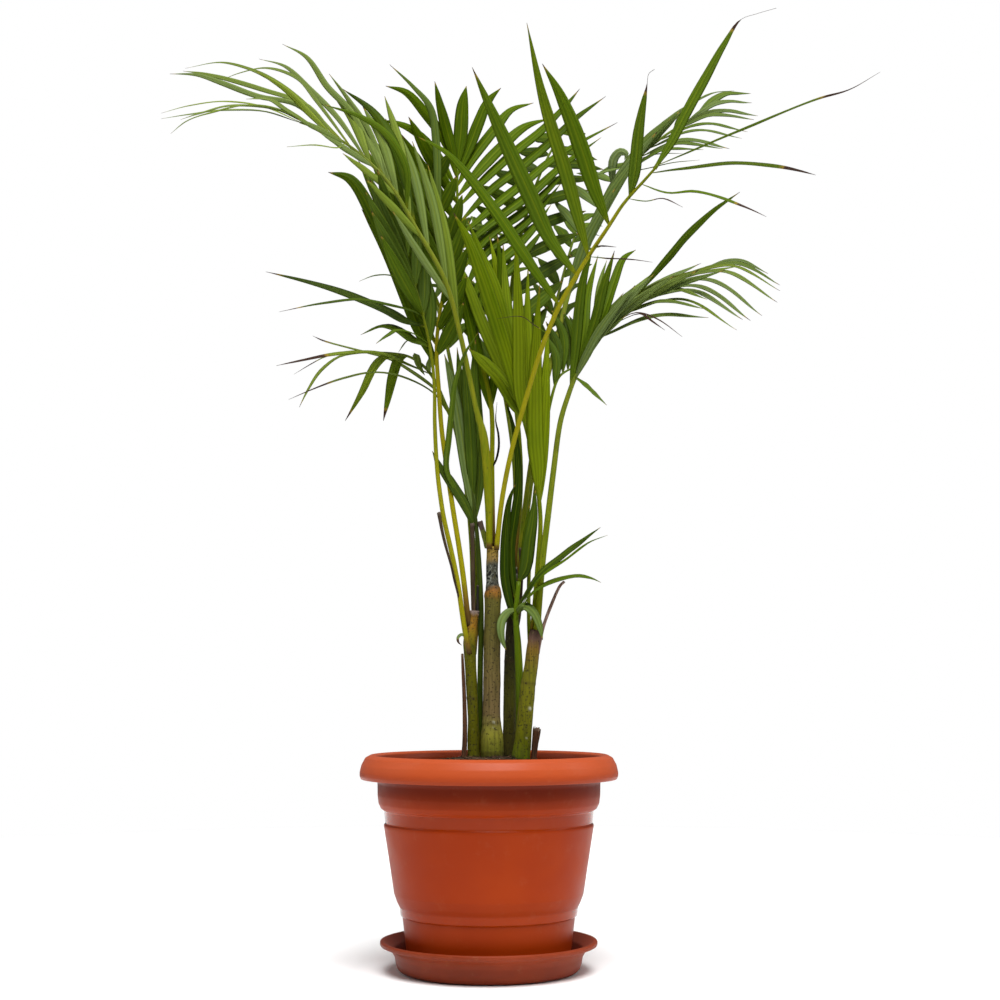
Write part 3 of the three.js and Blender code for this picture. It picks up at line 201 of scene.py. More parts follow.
FRONDS = stems_of("""
stem shoot_left
look 0.3 0.3 -0.7 0.1
radii 3 2.6 1.2
stalk -9 170 9 -9 280 8 -8 350 8 -10 400 7 -13 440 6 -18 480 6 -22 520 8
leaf 3.9 12 0.2 0.5 -1 -24 462 -1 -38 485 -6 -50 502 -8 -58 518 -8
leaf 4.3 6 0.2 0.2 -1 -34 478 2 -43 500 -3 -40.5 530 -10 -37.5 560 -18 -34 590 -26 -24 620 -36
  -11 641 -42
leaf 4.1 13 0 0.3 -1 -20 480 5 -27 522 4 -34 565 4 -40 596 4 -46 618 4
tint 0.45 0.8
leaf 4.4 13 0 0.3 -1 -19 495 9 -24 540 11 -29 585 13 -33 625 15
leaf 4.7 13 0 0.3 -1 -17 500 3 -19 545 2 -23 590 2 -27 635 2
leaf 5 12 0 0.3 -1 -15 520 9 -14 560 10 -15 600 12 -14 635 14
leaf 4.2 11 0 0.3 -1 -11 480 9 -10 520 10 -11 560 12 -10 600 14
stem shoot_right
look 0.22 0.1 0.1 0.1
radii 3.8 4 2.2
stalk 30 170 4 30.5 240 3 30.5 280 1 29 320 -1 27 350 -2 30 385 -2
leaf 4.2 10 -0.4 0.8 -1 50 391 -26 75 412 -30 95 427 -32 113 440 -33
leaf 4.05 8 -0.3 1 -0.5 54 391 -32 80 409 -38 100 424 -42 120 432 -44
leaf 3.9 8 0 1 -0.9 44 374 -26 65 386 -34 88 391 -38 102 389 -40 113 384 -41
leaf 5 13 0.3 0.2 -1 36.5 397 -4 41 425 -6 45 452 -7 47 478 -8
leaf 3.7 10 -0.2 0.2 -1 21 362 -4 15.5 388 -7 15 415 -8 17 445 -8 20.5 468 -8 27 485 -8
tint 0.05 0.05
leaf 4.4 9.5 0.2 0.1 -1 24 388 -1 22 420 0 25.5 450 2 29.5 480 5 29 512 8 24 545 11 14 578 14
tint 0.05 0.05
leaf 4.9 7 0.4 0.2 -1 35 408 0 38 437 1 41 463 2
leaf 4.1 10 0.2 0.2 -1 36 360 -14 45 353 -20 51 339 -22 54 326 -22
tint 0.5 1.2
leaf 4.2 9 0 0.1 -1 19 354 -7 13 346 -12 11.5 336 -15 13.5 325 -16 17.5 315 -16
tint 0.5 1.3
stem frond_left_arch
look 0.85 0.85 0.5 0.012
radii 2.8 4.6 4.4 2.6 2.5 2.4 2.2 2 1.8 1.5 1.2 0.9
stalk 0.2 418 -4 -0.6 474 -8 -5.4 530 -15 -14 564 -19 -29 635 -28 -46 696 -36 -77 752 -42 -97 787 -46
  -118 813 -48 -144 836 -50 -170 852 -52 -197 862 -54
row 4.2 8.2 7 10 -0.1 0.6 -1 0.02 0.05 -64 818 -10 -80 842 -2 -100 864 6 -109 890 12 -132 880 14
  -150 888 14 -168 902 10
row 4.6 9.2 5 9 -0.1 0.6 -1 -0.02 0.02 -100 768 -62 -128 802 -70 -152 829 -74 -176 851 -78 -200 866 -80
leaf 10.2 7 0 1 -0.5 -222 877 -66 -254 880 -78 -290 872 -92 -315 863 -100 -331 850 -104
leaf 10.6 7 0 1 -0.6 -220 875 -60 -268 880 -68 -300 872 -74 -321 865 -76
leaf 10.8 5 0 1 -0.6 -235 879 -50 -275 884.5 -48 -312 880 -46 -341 872 -44
leaf 11 6 0 1 -0.6 -235 874 -56 -280 875 -60 -310 871 -64 -341 866 -66
leaf 10 7 -0.3 0.8 -1 -200 881 -40 -240 890 -30 -280 905 -22 -305 913 -16 -333 914 -12
leaf 9.6 6.5 -0.3 0.8 -1 -190 880 -34 -236 897 -16 -280 910 -2 -300 914.5 4 -319 917 8
leaf 9.3 6 -0.4 0.8 -1 -196 886 -26 -222 906 -14 -250 920 -2 -280 926.5 8 -317 920 18
leaf 9 5 -0.4 0.8 -1 -180 885 -26 -200 909 -10 -232 920 4 -260 915 14 -284 905 20
leaf 9.8 6.5 -0.3 0.6 -1 -190 874 -46 -214 898 -48 -243 917 -50
leaf 10.4 7 -0.2 0.8 -1 -210 875 -62 -230 887 -68 -253 887 -72
leaf 8.4 6.5 -0.4 0.6 -1 -158 868 -30 -186 898 -12 -212 922 2 -240 930 12
leaf 7.6 7.5 -0.4 0.6 -1 -142 872 -20 -168 901 -4 -190 932 8 -216 946 16
leaf 7.2 6 -0.4 0.5 -1 -126 856 -16 -146 886 -4 -167 914 6
leaf 6 11 -0.3 0.5 -1 -91 815 -20 -104 848 -8 -124 876 2 -153 898 10
tint 0.3 0.1
leaf 6.4 8 -0.1 0.2 -1 -86 812 -56 -106 848 -62 -134 868 -68 -172 881 -72
tint 0.4 0.2
leaf 9.2 4 0 1 -0.6 -160 835 -76 -180 838 -86 -210 836 -94
stem frond_front_right
look 0.56 0.12 1.2 0.012
radii 2.5 2.4 1.2
stalk 7.4 417 -4 13 468 -14 23 519 -26 37 570 -40 53 622 -56 69 662 -68 85 692 -78 102 720 -86
  122 750 -94 139 776 -100 161 801 -106 175 817 -110
leaf 5.2 16.5 0.2 0.5 -1 52 698 -80 30 732 -94 6 769 -108 -18 801 -120 -47 832 -132 -75 847 -140
tint 0.4 0.1
leaf 6.3 16.5 0.1 0.3 -1 63 738 -88 43 783 -102 23 828 -116 3 873 -130 -18 921 -142
tint 0.42 0.1
leaf 7 13.5 0 0.2 -1 91 764 -96 79 810 -108 66 853 -120 53 900 -132 39 969 -148
leaf 8.1 16.5 0 0.2 -1 110 788 -104 98 828 -116 86 863 -128 72 895 -140 55 925 -150
leaf 9.3 12 0.2 0.2 -1 151 812 -110 156 858 -124 164 902 -138
dry 0.06 3 166 914 -140 172 919 -142
leaf 10.7 11.5 -0.3 0.3 -1 187 838 -108 205 873 -109 226 912 -110 245 946 -111 262 972 -112
dry 0.09 4.5 280 979 -112 300 985 -112
leaf 11 9 -0.3 1 0.12 220 836 -106 262 854 -98 300 870 -90 345 888 -80 375 897 -72 407 916 -64
dry 0.32 2.6
leaf 10.4 9 0 1 0.1 200 813 -96 250 819 -80 290 817 -66 320 811 -54 338 806 -48
dry 0.3
leaf 9.8 8 0.1 1 -0.7 185 787 -112 212 789 -124 240 782 -134 265 772 -142 286 762 -148
dry 0.26
leaf 9.2 5 0 1 -0.3 162 778 -112 180 781 -122 200 772 -130
dry 0.5
leaf 7.3 5 0 1 0 115 731 -98 131 730 -108
dry 0.7
leaf 7 5 0 1 0 120 718 -100 145 717 -116 168 714 -130
dry 0.7
leaf 4.4 3 0 1 -0.5 45 649 -64 33 657 -68 8 655 -72
dry 0.8
stem frond_right_arch
look 0.74 0.9 0.35 0.02
radii 3.6 2.4 1
stalk 47.5 328 -15 50.5 366 -16 54.2 407 -17 60.5 458 -18 65.5 498 -20 72 545 -22 81 576 -24 90 599 -26
  103 624 -28 120 648 -30 140 669 -30 163 687 -30 188 698 -30 217 706 -28
row 9.4 13 8 9 0.2 1 -0.8 0.06 0.17 254 643 -112 260 654 -108 268 653 -100 280 658 -90 296 672 -74
  299 684 -54 299 690 -36 287 702 -22
row 8.4 10.4 3 8 -0.2 0.9 -1 0.02 0.1 225 656 -104 222 665 -116 224 675 -110
row 6.6 9.6 5 12 -0.4 0.6 -1 -0.03 0.03 150 690 -72 170 702 -80 190 700 -84 216 706 -86 244 706 -80
row 6.4 10 4 10 -0.4 0.8 -1 -0.04 0.04 138 682 24 170 704 44 218 713 56 262 711 54
leaf 6.3 11 0 0.1 -1 89 625 -34 93 665 -48 98 700 -58 106 726 -64
tint 0.55 0.1
leaf 6.6 10 0 0.1 -1 97 640 -12 101 680 4 112 721 16
tint 0.6 0.1
leaf 6.8 7 0.3 0.1 -1 107 648 4 113 690 22 121 716 34
leaf 7.1 10 0 0.2 -1 109 652 -38 118 688 -52 129 726 -64
tint 0.55 0.1
leaf 7.6 10 0.1 0.2 -1 117 660 -22 128 694 -10 138 718 0 151 727 8
tint 0.6 0.1
leaf 10.4 10 -0.3 0.5 -1 182 716 -42 204 742 -56 230 767 -70 259 788 -80
tint 0.4 0.1
leaf 8.6 4 0 1 -0.6 150 661 -70 172 655 -84 198 636 -96
dry 0.75
leaf 8.8 3.5 0 1 -0.6 155 660 -62 166 653 -72 180 643 -80
dry 0.75
leaf 6.8 8 0.4 0.8 -1 98 587 -40 108 577 -54 120 565 -66
tint 0.45 0.3
stem frond_top_fan
look 0.42 0.04 0.5 0.1
radii 2.4 2.4 1.1
stalk 4 417 4 3 498 8 3 550 12 -1 581 16 -15 633 22 -25 685 28 -30 737 34 -33 779 38 -33 815 42
row 4.2 6.9 6 13 -0.2 0.3 -1 -0.04 0.06 -66 745 6 -78 775 4 -84 805 4 -90 830 6 -92 850 10 -84 868 14
leaf 7.8 13 0.2 0.2 -1 -42 845 36 -50 876 28 -57 906 20
leaf 7.6 11 0 0.15 -1 -47 845 36 -66 872 28 -86 894 20 -108 901 14
leaf 7.3 10 0 0.2 -1 -54 828 34 -75 851 24 -95 861 16 -113 864 10
leaf 8 15 0 0.1 -1 -30 850 46 -28 880 48 -24 901 49
leaf 7.7 13 -0.1 0.3 -1 -21 835 48 -11 862 52 -1 885 56 12 899 58
leaf 7.4 13 0 0.4 -1 -17 825 50 4 853 64 22 875 76 46 883 86
leaf 7.1 13 0 0.4 -1 -10 811 50 14 837 66 38 858 82 62 866 94
leaf 6.8 13 -0.2 0.4 -1 -6 800 50 22 826 68 52 851 86 76 876 100 94 898 112
leaf 6.4 13 -0.2 0.4 -1 2 790 52 32 813 72 62 839 92 92 868 110 121 890 124
leaf 6.1 12.5 -0.2 0.4 -1 5 772 50 40 800 72 75 829 94 133 862 124
leaf 5.8 12.5 -0.2 0.4 -1 5 758 48 40 785 70 74 815 90 116 846 112
leaf 5.4 12.5 -0.2 0.4 -1 0 742 46 30 763 64 60 790 82 85 818 98
leaf 5 12.5 -0.2 0.4 -1 -4 724 44 25 745 60 50 768 76 74 797 92
leaf 4.6 12.5 -0.2 0.4 -1 -2 706 40 20 724 54 44 748 68 64 775 80
leaf 4.3 12.5 -0.2 0.4 -1 0 688 36 20 706 48 40 728 60 58 752 70
leaf 2.2 13 0.1 0.3 -1 -6 592 14 -16 632 14 -24 668 14 -32 702 14
leaf 2.4 13 -0.1 0.3 -1 6 600 18 12 650 22 12 700 26 8 745 28
leaf 1.05 2.4 -0.2 0.4 -1 7 509 2 9.5 522 0 9 536 -2 6.5 549 -4 8 568 -6
tint -0.2 0
dry 0.95
stem frond_left_dark
look 0.36 0.1 1.3 0.1
radii 2.8 2.3 1
stalk -20.5 340 -2 -25.4 384 -2 -30.5 420 -1 -37 460 1 -43 500 3 -48.5 540 5 -51.5 580 7 -54 620 9
  -52 652 12 -47 688 14 -48 725 18 -56 770 22 -66 812 26
row 7.8 12 8 15 -0.3 0.3 -1 -0.03 0.03 -144 805 70 -136 822 80 -126 832 86 -122 848 90 -118 862 90
  -108 866 88 -98 868 84 -88 872 78
row 6.9 11.6 7 14 0.3 0.3 -1 0.03 0.02 -26 672 -10 -23 700 -8 -21 732 -4 -24 762 0 -28 785 4 -34 805 8
  -40 830 12
leaf 6.6 14 -0.2 0.2 -1 -74 650 20 -104 722 44 -132 770 56
leaf 7.2 16 -0.2 0.3 -1 -85 690 28 -119 763 52 -144 802 64 -167 809 70
leaf 10.2 9 0.2 0.3 -1 -53 790 34 -55 840 44 -61 877 50 -79 900 54 -104 924 56
tint 0.45 0.9
stem frond_left_outer
look 0.4 0.2 0.85 0.09
radii 2.7 2.3 0.9
stalk -19.5 312 -4 -23.4 330 -6.5 -27 352 -9 -31.5 382 -10 -37.5 412 -10 -44 440 -10 -48.2 462 -9
  -53 500 -7 -55.5 545 -5 -56 582 -4 -59 615 -4 -66 650 -6 -76 688 -8 -88 724 -10
row 11.2 13 6 14 -0.3 0.3 -1 -0.02 0.02 -112 742 -60 -122 768 -68 -128 788 -72 -124 802 -72 -116 812 -68
  -104 815 -60
row 10.4 12.8 4 13 0.2 0.3 -1 0.02 0.02 -62 700 36 -68 730 40 -76 760 42 -88 790 44
leaf 10.3 12 0.3 0.7 -1 -80 634 6 -96 645 16 -112 647 26 -132 638 38
leaf 10.4 7 0 1 -0.6 -78 639 -18 -95 643 -34 -104 638 -42 -116 629 -50
leaf 10.9 12 0.2 0.8 -1 -84 652 6 -104 663 20 -140 679 38 -188 694 54 -230 704 66
tint 0.2 0.2
dry 0.06
leaf 11.2 10 0 1 -0.7 -80 663 -18 -100 669 -30 -135 675 -48 -172 671 -64 -216 662 -78
tint 0.25 0.3
dry 0.08
leaf 12 6 0 1 -0.3 -92 697 -12 -102 700 -14 -118 700 -16 -134 694 -18
leaf 10.2 5 0 1 -0.6 -72 632 6 -84 632 10 -93 620 12
leaf 1 3 0 0.1 -1 -28 331.5 -9 -31.3 328.5 -10.5 -31 324 -12 -27.6 320.6 -13
tint 0.45 1.2
dry 0.4
stem frond_low_left
look 0.95 0.65 0.3 0.1
radii 2.4 2 0.9
stalk -15 338 2 -16.5 380 12 -18.5 430 19 -24 484 25 -34 538 32 -45 566 36 -57 593 42 -70 608 48
  -84 616 54 -100 619 58 -118 620 62
leaf 4.5 7 0 1 -0.4 -56 577 36 -90 595 28 -120 599 20 -150 593 12 -182 581 4 -205 571 -2
dry 0.25
leaf 5.3 7 0 1 -0.4 -60 586 56 -80 600 72 -102 613 88 -135 622 108 -170 632 126 -181 637 132
dry 0.18
leaf 6.2 8 0 1 -0.8 -82 607 32 -112 619 16 -150 619 -2 -190 612 -18 -218 606 -28
dry 0.3
leaf 10 7 0 1 -0.5 -140 621 74 -163 617 84 -180 609 92 -200 597 100
dry 0.3
leaf 9.4 7 0 1 -0.6 -130 620 54 -155 615 52 -172 602 50 -184 584 48 -194 563 46
leaf 8.4 11 -0.3 0.6 -1 -108 615 50 -119 603 46 -131 577 44 -147 549 42
tint 0.75 0.2
dry 0.07
leaf 8 12 -0.2 0.5 -1 -92 614 44 -98 600 38 -103 575 36 -108 549 35
tint 0.75 0.2
dry 0.09
leaf 7 8 0.2 0.7 -1 -75 617 52 -72 606 46 -66 596 42
leaf 6.3 6 0 0.5 -1 -62 607 36 -60 613 34 -64 620 32
stem frond_back_right
look 0.5 0.8 0.4 0.1
radii 2.8 2.6 1.1
stalk 27.5 361 17 32 420 27 39 480 40 50 550 58 66 620 72 84 690 86 104 745 98 128 792 108 155 825 118
  185 850 126 212 866 132
row 7.3 10 9 11 0 1 -0.8 0 0.14 222 833 52 242 834 54 249 834 60 262 845 72 268 852 86 275 865 104
  279 869 126 273 883 150 272 893 172
row 5.2 7.8 5 11 0 0.5 -1 -0.03 0.05 55 745 140 66 780 156 76 800 166 90 808 172 104 800 174
row 4.8 8 6 13 0.1 0.4 -1 -0.03 0.03 130 792 62 158 832 66 174 852 72 188 866 80 198 874 90 206 881 100
leaf 7 11 -0.2 0.2 -1 127 810 92 129 824 90 136 831 88 142 828 86 140 822 86
tint 0.4 1.1
leaf 7.6 6 0 1 -0.8 128 812 84 114 808 80 100 802 76
leaf 7.9 6 0 1 -0.3 175 828 112 200 829 110
leaf 7.5 5 0 1 -0.3 160 812 100 190 819 96 218 822 92
leaf 9.2 10 0 1 -0.6 196 866 120 214 884 118 232 893 116 255 896 114
stem frond_low_right
look 0.26 0.25 0.3 0.1
radii 2 1.9 0.9
stalk 42 300 -9 40 350 3 41 410 20 47 480 40 57 540 56 63 570 62 70 592 66 80 601 70 92 605 74
row 5.6 8 6 10 -0.2 0.3 -1 0.1 0.06 60 636 66 58 652 70 64 664 74 70 664 78 76 662 82 82 658 86
stem frond_centre_young
look 0.86 0.1 0.35 0.1
radii 2.6 2.2 1.2
stalk 42 320 -9.5 46 360 -6 49 400 -4 52 440 -4 50.5 470 -3 46.5 500 -3 40 530 -3 34 552 -3 24 580 -3
leaf 7.6 16 0.1 0.4 -1 22 602 -12 8 650 -28 -8 700 -44 -22 738 -56 -37 766 -64
leaf 7.2 15 0.2 0.4 -1 27 600 0 16 650 -4 4 692 -8 -8 722 -12 -22 758 -16
leaf 6.6 13 0 0.2 -1 31 580 -8 30 630 -20 29 680 -30 27 745 -42
leaf 4.1 17 -0.2 0.2 -1 49 498 -7 46 530 -12 46 580 -22 48 635 -32 52 692 -40
leaf 3.8 14 0.2 0.2 -1 52.5 500 2 55.5 535 9 58 585 20 60 650 34
leaf 7 13 0 0.4 -1 26 565 4 10 592 6 -8 610 8 -22 625 10
leaf 8 9 0 0.8 -1 13 596 -9 -3 612 -12 -17 622 -14
leaf 7.4 15 0.2 0.4 -1 14 602 6 -6 650 6 -24 695 4 -42 730 2
leaf 6.9 13 0.1 0.3 -1 25 600 12 17 650 22 9 700 30 0 742 36
leaf 6.3 12 0 0.3 -1 33 590 12 23 640 24 17 690 34 14 735 42
leaf 5.5 11 -0.1 0.3 -1 43 560 8 41 610 18 39 660 26 40 712 32
stem frond_back_centre
look 0.24 0.2 0.3 0.2
radii 2.6 2.4 1
stalk 20.5 361 18.5 29 430 35 32 500 52 27 570 68 20 640 84 26 710 100 40 770 118 56 815 138 74 850 160
row 3.6 8 10 15 0.2 0.4 -1 0.04 0.04 60 668 130 76 695 142 86 722 154 94 745 166 100 768 176 104 790 186
  112 802 194 118 812 200 112 822 202 100 850 200
row 3.6 7.8 10 15 -0.2 0.4 -1 -0.04 0.04 -26 672 50 -30 700 56 -28 728 64 -24 752 76 -16 775 90
  -8 795 106 2 812 124 14 822 142 30 830 160 44 845 178
stem frond_rear_high
look 0.3 0.2 0.35 0.1
radii 2.8 2.4 1
stalk 21.5 326 19 22 366 32 26 430 56 26 500 86 17 570 122 3 640 170 -8 700 226 -14 740 286 -18 762 350
row 4.4 8 9 13 0.2 1 -0.3 0.02 0.1 44 622 190 58 650 220 66 676 252 68 694 284 66 706 314 60 714 344
  50 718 372 38 722 396 24 726 416 8 730 430 -10 738 440
row 4.4 7.9 9 13 -0.2 1 -0.3 -0.02 0.1 -40 655 190 -56 668 220 -72 684 252 -84 698 284 -90 710 314
  -88 718 344 -80 724 372 -70 728 396 -56 732 416 -40 736 430 -26 742 438
stem frond_rear_right
look 0.28 0.25 0.35 0.1
radii 2.4 2.1 1
stalk 26 322 18.5 31 376 34 38 446 60 47 520 94 54 590 132 64 650 172 76 700 214 86 735 256 92 755 300
row 4.4 8 8 13 0.3 1 -0.3 0 0.08 78 650 150 92 674 186 100 694 220 106 712 252 110 728 282 114 742 310
  117 752 334 116 764 352
row 4.6 7.9 7 13 -0.3 1 -0.3 0 0.08 38 664 166 44 694 200 50 718 232 58 738 264 66 754 294 76 766 322
  88 774 346
stem frond_rear_left
look 0.3 0.25 0.35 0.1
radii 2.6 2.2 1
stalk -15.5 312 4 -12 352 17 -14 400 32 -20 460 52 -28 530 74 -38 600 106 -50 655 142 -64 700 182
  -78 732 224 -92 752 266
row 5.4 9 8 13 0.3 1 -0.3 0 0.08 -20 652 180 -16 686 210 -18 714 242 -24 734 272 -34 748 300 -46 758 324
  -60 764 342 -74 766 356 -88 766 364 -100 764 370
row 5.8 8.9 7 13 -0.3 1 -0.3 0 0.06 -88 682 150 -98 706 176 -106 726 206 -112 742 236 -116 754 266
  -118 762 294 -118 766 320 -116 768 342 -110 768 358
""")

# Dry stubs: their materials as (light, dark, colour of the upper end where it differs), and the stubs
# that aren't brown

DRY = {
    "dry_brown": ((0.065, 0.042, 0.02), (0.026, 0.015, 0.007)),
    "dry_pink": ((0.26, 0.17, 0.13), (0.12, 0.065, 0.045)),
    "dry_rust": ((0.115, 0.048, 0.019), (0.045, 0.018, 0.008)),
    "dry_black": ((0.02, 0.016, 0.014), (0.006, 0.005, 0.005)),
    "dry_green": ((0.17, 0.19, 0.015), (0.075, 0.10, 0.006), (0.09, 0.06, 0.045)),
}
HUSKS = {"stub_right_thin": "dry_pink", "sheath_dry": "dry_rust", "stub_snapped": "dry_rust",
         "stub_black": "dry_black", "stub_cut_top": "dry_green"}


def places(points):
    """Where points (across, up, back) lie: seen by the eye at across and up on the upright plane through
    the pot's axis, and back behind that plane."""
    across, up, back = np.reshape(points, (-1, 3)).T
    return EYE + (np.stack([across, 0 * up, up], 1) - EYE) * (1 - back / EYE[1])[:, None]


def unit(vectors):
    """Vectors scaled to length one."""
    vectors = np.asarray(vectors, float)
    return vectors / np.linalg.norm(vectors, axis=-1, keepdims=True)


def turns(sides):
    """Even turns around a circle."""
    return [2 * math.pi * side / sides for side in range(sides)]


class Dice:
    """Small seeded random source."""

    def __init__(self, seed):
        self.state = seed

    def roll(self, low=0.0, high=1.0):
        self.state = (self.state * 1664525 + 1013904223) % 4294967296
        return low + (high - low) * self.state / 4294967296


def spline(points, shares, tension=0.5):
    """Places at the shares 0 to 1 along a smooth curve through points. Without tension the curve is
    spaced by the distances between the points."""
    points = np.asarray(points, float)
    ends = np.array([2 * points[0] - points[1], *points, 2 * points[-1] - points[-2]])
    spots = np.clip(shares, 0, 1) * (len(points) - 1)
    steps = np.minimum(spots.astype(int), len(points) - 2)
    t = (spots - steps)[:, None]
    before, start, end, after = (ends[steps + corner] for corner in range(4))
    if tension:
        leave, arrive = tension * (end - before), tension * (after - start)
    else:
        near, gap, far = (np.maximum(np.sqrt(np.linalg.norm(step, axis=1, keepdims=True)), 1e-3)
                          for step in (start - before, end - start, after - end))
        leave = gap * ((start - before) / near - (end - before) / (near + gap)) + end - start
        arrive = gap * ((after - end) / far - (after - start) / (gap + far)) + end - start
    return (start + t * leave + t * t * (3 * (end - start) - 2 * leave - arrive)
            + t ** 3 * (2 * (start - end) + leave + arrive))


def tangents_of(points):
    """The direction of a line of points at each of them."""
    return unit(np.gradient(points, axis=0))


def mesh_of(name, points, faces):
    """A Blender mesh from points in millimetres."""
    mesh = bpy.data.meshes.new(name)
    mesh.from_pydata([(x * MM, y * MM, z * MM) for x, y, z in points], [], faces)
    return mesh


def put(name, data):
    """A new object in the scene."""
    made = bpy.data.objects.new(name, data)
    bpy.context.scene.collection.objects.link(made)
    return made


class Shape:
    """Points, faces and per-point values of one piece, in millimetres."""

    def __init__(self):
        self.points, self.faces, self.slots, self.values = [], [], [], {}

    def add(self, points, faces, slots=None, **values):
        """Adds a skin, with the material slot of each face, and values that are one for all or one for
        each point."""
        first = len(self.points)
        self.points += [tuple(point) for point in points]
        self.faces += [tuple(first + corner for corner in face) for face in faces]
        self.slots += slots or [0] * len(faces)
        for name in set(self.values) | set(values):
            line = self.values.setdefault(name, [0.0] * first)
            value = values.get(name, 0.0)
            line += list(value) if np.ndim(value) else [value] * len(points)

    def build(self, name, looks, slot, *nodes):
        """Makes the Blender piece, which stands for these nodes."""
        mesh = mesh_of(name, self.points, self.faces)
        for look in looks:
            mesh.materials.append(look)
        mesh.polygons.foreach_set("material_index", self.slots)
        mesh.polygons.foreach_set("use_smooth", [True] * len(self.faces))
        for key, line in self.values.items():
            mesh.attributes.new(key, "FLOAT", "POINT").data.foreach_set("value", line)
        skin = bmesh.new()
        skin.from_mesh(mesh)
        bmesh.ops.recalc_face_normals(skin, faces=skin.faces)
        skin.to_mesh(mesh)
        skin.free()
        piece = put(name, mesh)
        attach(piece, "root")
        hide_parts(*nodes)
        return piece


def tube_faces(rings, sides, first=0):
    """Faces of an open skin over that many rings of that many points."""
    return [(first + ring * sides + side, first + ring * sides + (side + 1) % sides,
             first + (ring + 1) * sides + (side + 1) % sides, first + (ring + 1) * sides + side)
            for ring in range(rings - 1) for side in range(sides)]


def loft_faces(rings, sides):
    """Faces of a closed skin over that many rings of that many points."""
    return [tuple(range(sides))[::-1], *tube_faces(rings, sides),
            tuple(range((rings - 1) * sides, rings * sides))]


# Node materials

def add_node(tree, kind, *sources, **settings):
    """A node with its settings, and its inputs in order: values are linked, None is left alone."""
    made = tree.nodes.new("ShaderNode" + kind)
    for key, value in settings.items():
        setattr(made, key, value)
    for number, source in enumerate(sources):
        if isinstance(source, Value):
            tree.links.new(source.socket, made.inputs[number])
        elif source is not None:
            made.inputs[number].default_value = source
    return made


class Value:
    """An output of a node. Arithmetic with it makes Math nodes."""

    def __init__(self, node, output=0):
        self.socket, self.tree = node.outputs[output], node.id_data

    def math(self, operation, *others):
        return Value(add_node(self.tree, "Math", self, *others, operation=operation))

    __add__ = partialmethod(math, "ADD")
    __sub__ = partialmethod(math, "SUBTRACT")
    __mul__ = partialmethod(math, "MULTIPLY")

    def fade(self, low, high, start=0.0, end=1.0):
        """From low to high it becomes start to end, smoothly, and it stays there beyond."""
        return Value(add_node(self.tree, "MapRange", self, low, high, start, end,
                              interpolation_type="SMOOTHSTEP"))


class Look:
    """A Principled material and short names for the nodes that paint it."""

    def __init__(self, name, specular, roughness=0.5):
        self.material = bpy.data.materials.new(name)
        self.material.use_nodes = True
        self.tree = self.material.node_tree
        self.shader = self.tree.nodes["Principled BSDF"]
        self.shader.inputs["Specular IOR Level"].default_value = specular
        self.shader.inputs["Roughness"].default_value = roughness
        self.where = Value(add_node(self.tree, "TexCoord"), "Object")

    def value(self, name):
        """The piece's value of that name, point by point."""
        return Value(add_node(self.tree, "Attribute", attribute_name=name), "Fac")

    def stretched(self, *scale):
        """The place on the piece, in metres, times a number for each axis."""
        return Value(add_node(self.tree, "VectorMath", self.where, scale, operation="MULTIPLY"))

    def up(self):
        return Value(add_node(self.tree, "SeparateXYZ", self.where), "Z")

    def grain(self, scale, detail=4.0, rough=0.55, where=None):
        """Noise, on the whole piece or on another place."""
        where = where or self.where
        return Value(add_node(self.tree, "TexNoise", where, None, scale, detail, rough), "Fac")

    def coats(self, colour, *coats):
        """A colour with coats over it, each as (how much of it, its colour)."""
        for coat in coats:
            mix = self.tree.nodes.new("ShaderNodeMix")
            mix.data_type = "RGBA"
            for number, source in zip((0, 6, 7), (coat[0], colour, coat[1])):
                if isinstance(source, Value):
                    self.tree.links.new(source.socket, mix.inputs[number])
                else:
                    mix.inputs[number].default_value = (*source, 1)
            colour = Value(mix, 2)
        return colour

    def ramp(self, source, stops):
        """A colour for what source is, from stops of (value, red, green, blue)."""
        low, high = stops[0][0], stops[-1][0]
        made = add_node(self.tree, "ValToRGB", Value(add_node(self.tree, "MapRange", source, low, high)))
        marks = made.color_ramp.elements
        marks.remove(marks[1])
        for number, (value, *colour) in enumerate(stops):
            mark = marks.new((value - low) / (high - low)) if number else marks[0]
            mark.color = (*colour, 1)
        return Value(made)

    def paint(self, colour, roughness=None, height=None, distance=0.001, strength=1.0):
        """Links what is given to the shader. height is in units of distance, in metres."""
        links = {"Base Color": colour, "Roughness": roughness}
        if height:
            bump = add_node(self.tree, "Bump", strength, distance)
            self.tree.links.new(height.socket, bump.inputs["Height"])
            links["Normal"] = Value(bump)
        for name, source in links.items():
            if source:
                self.tree.links.new(source.socket, self.shader.inputs[name])
        return self.material


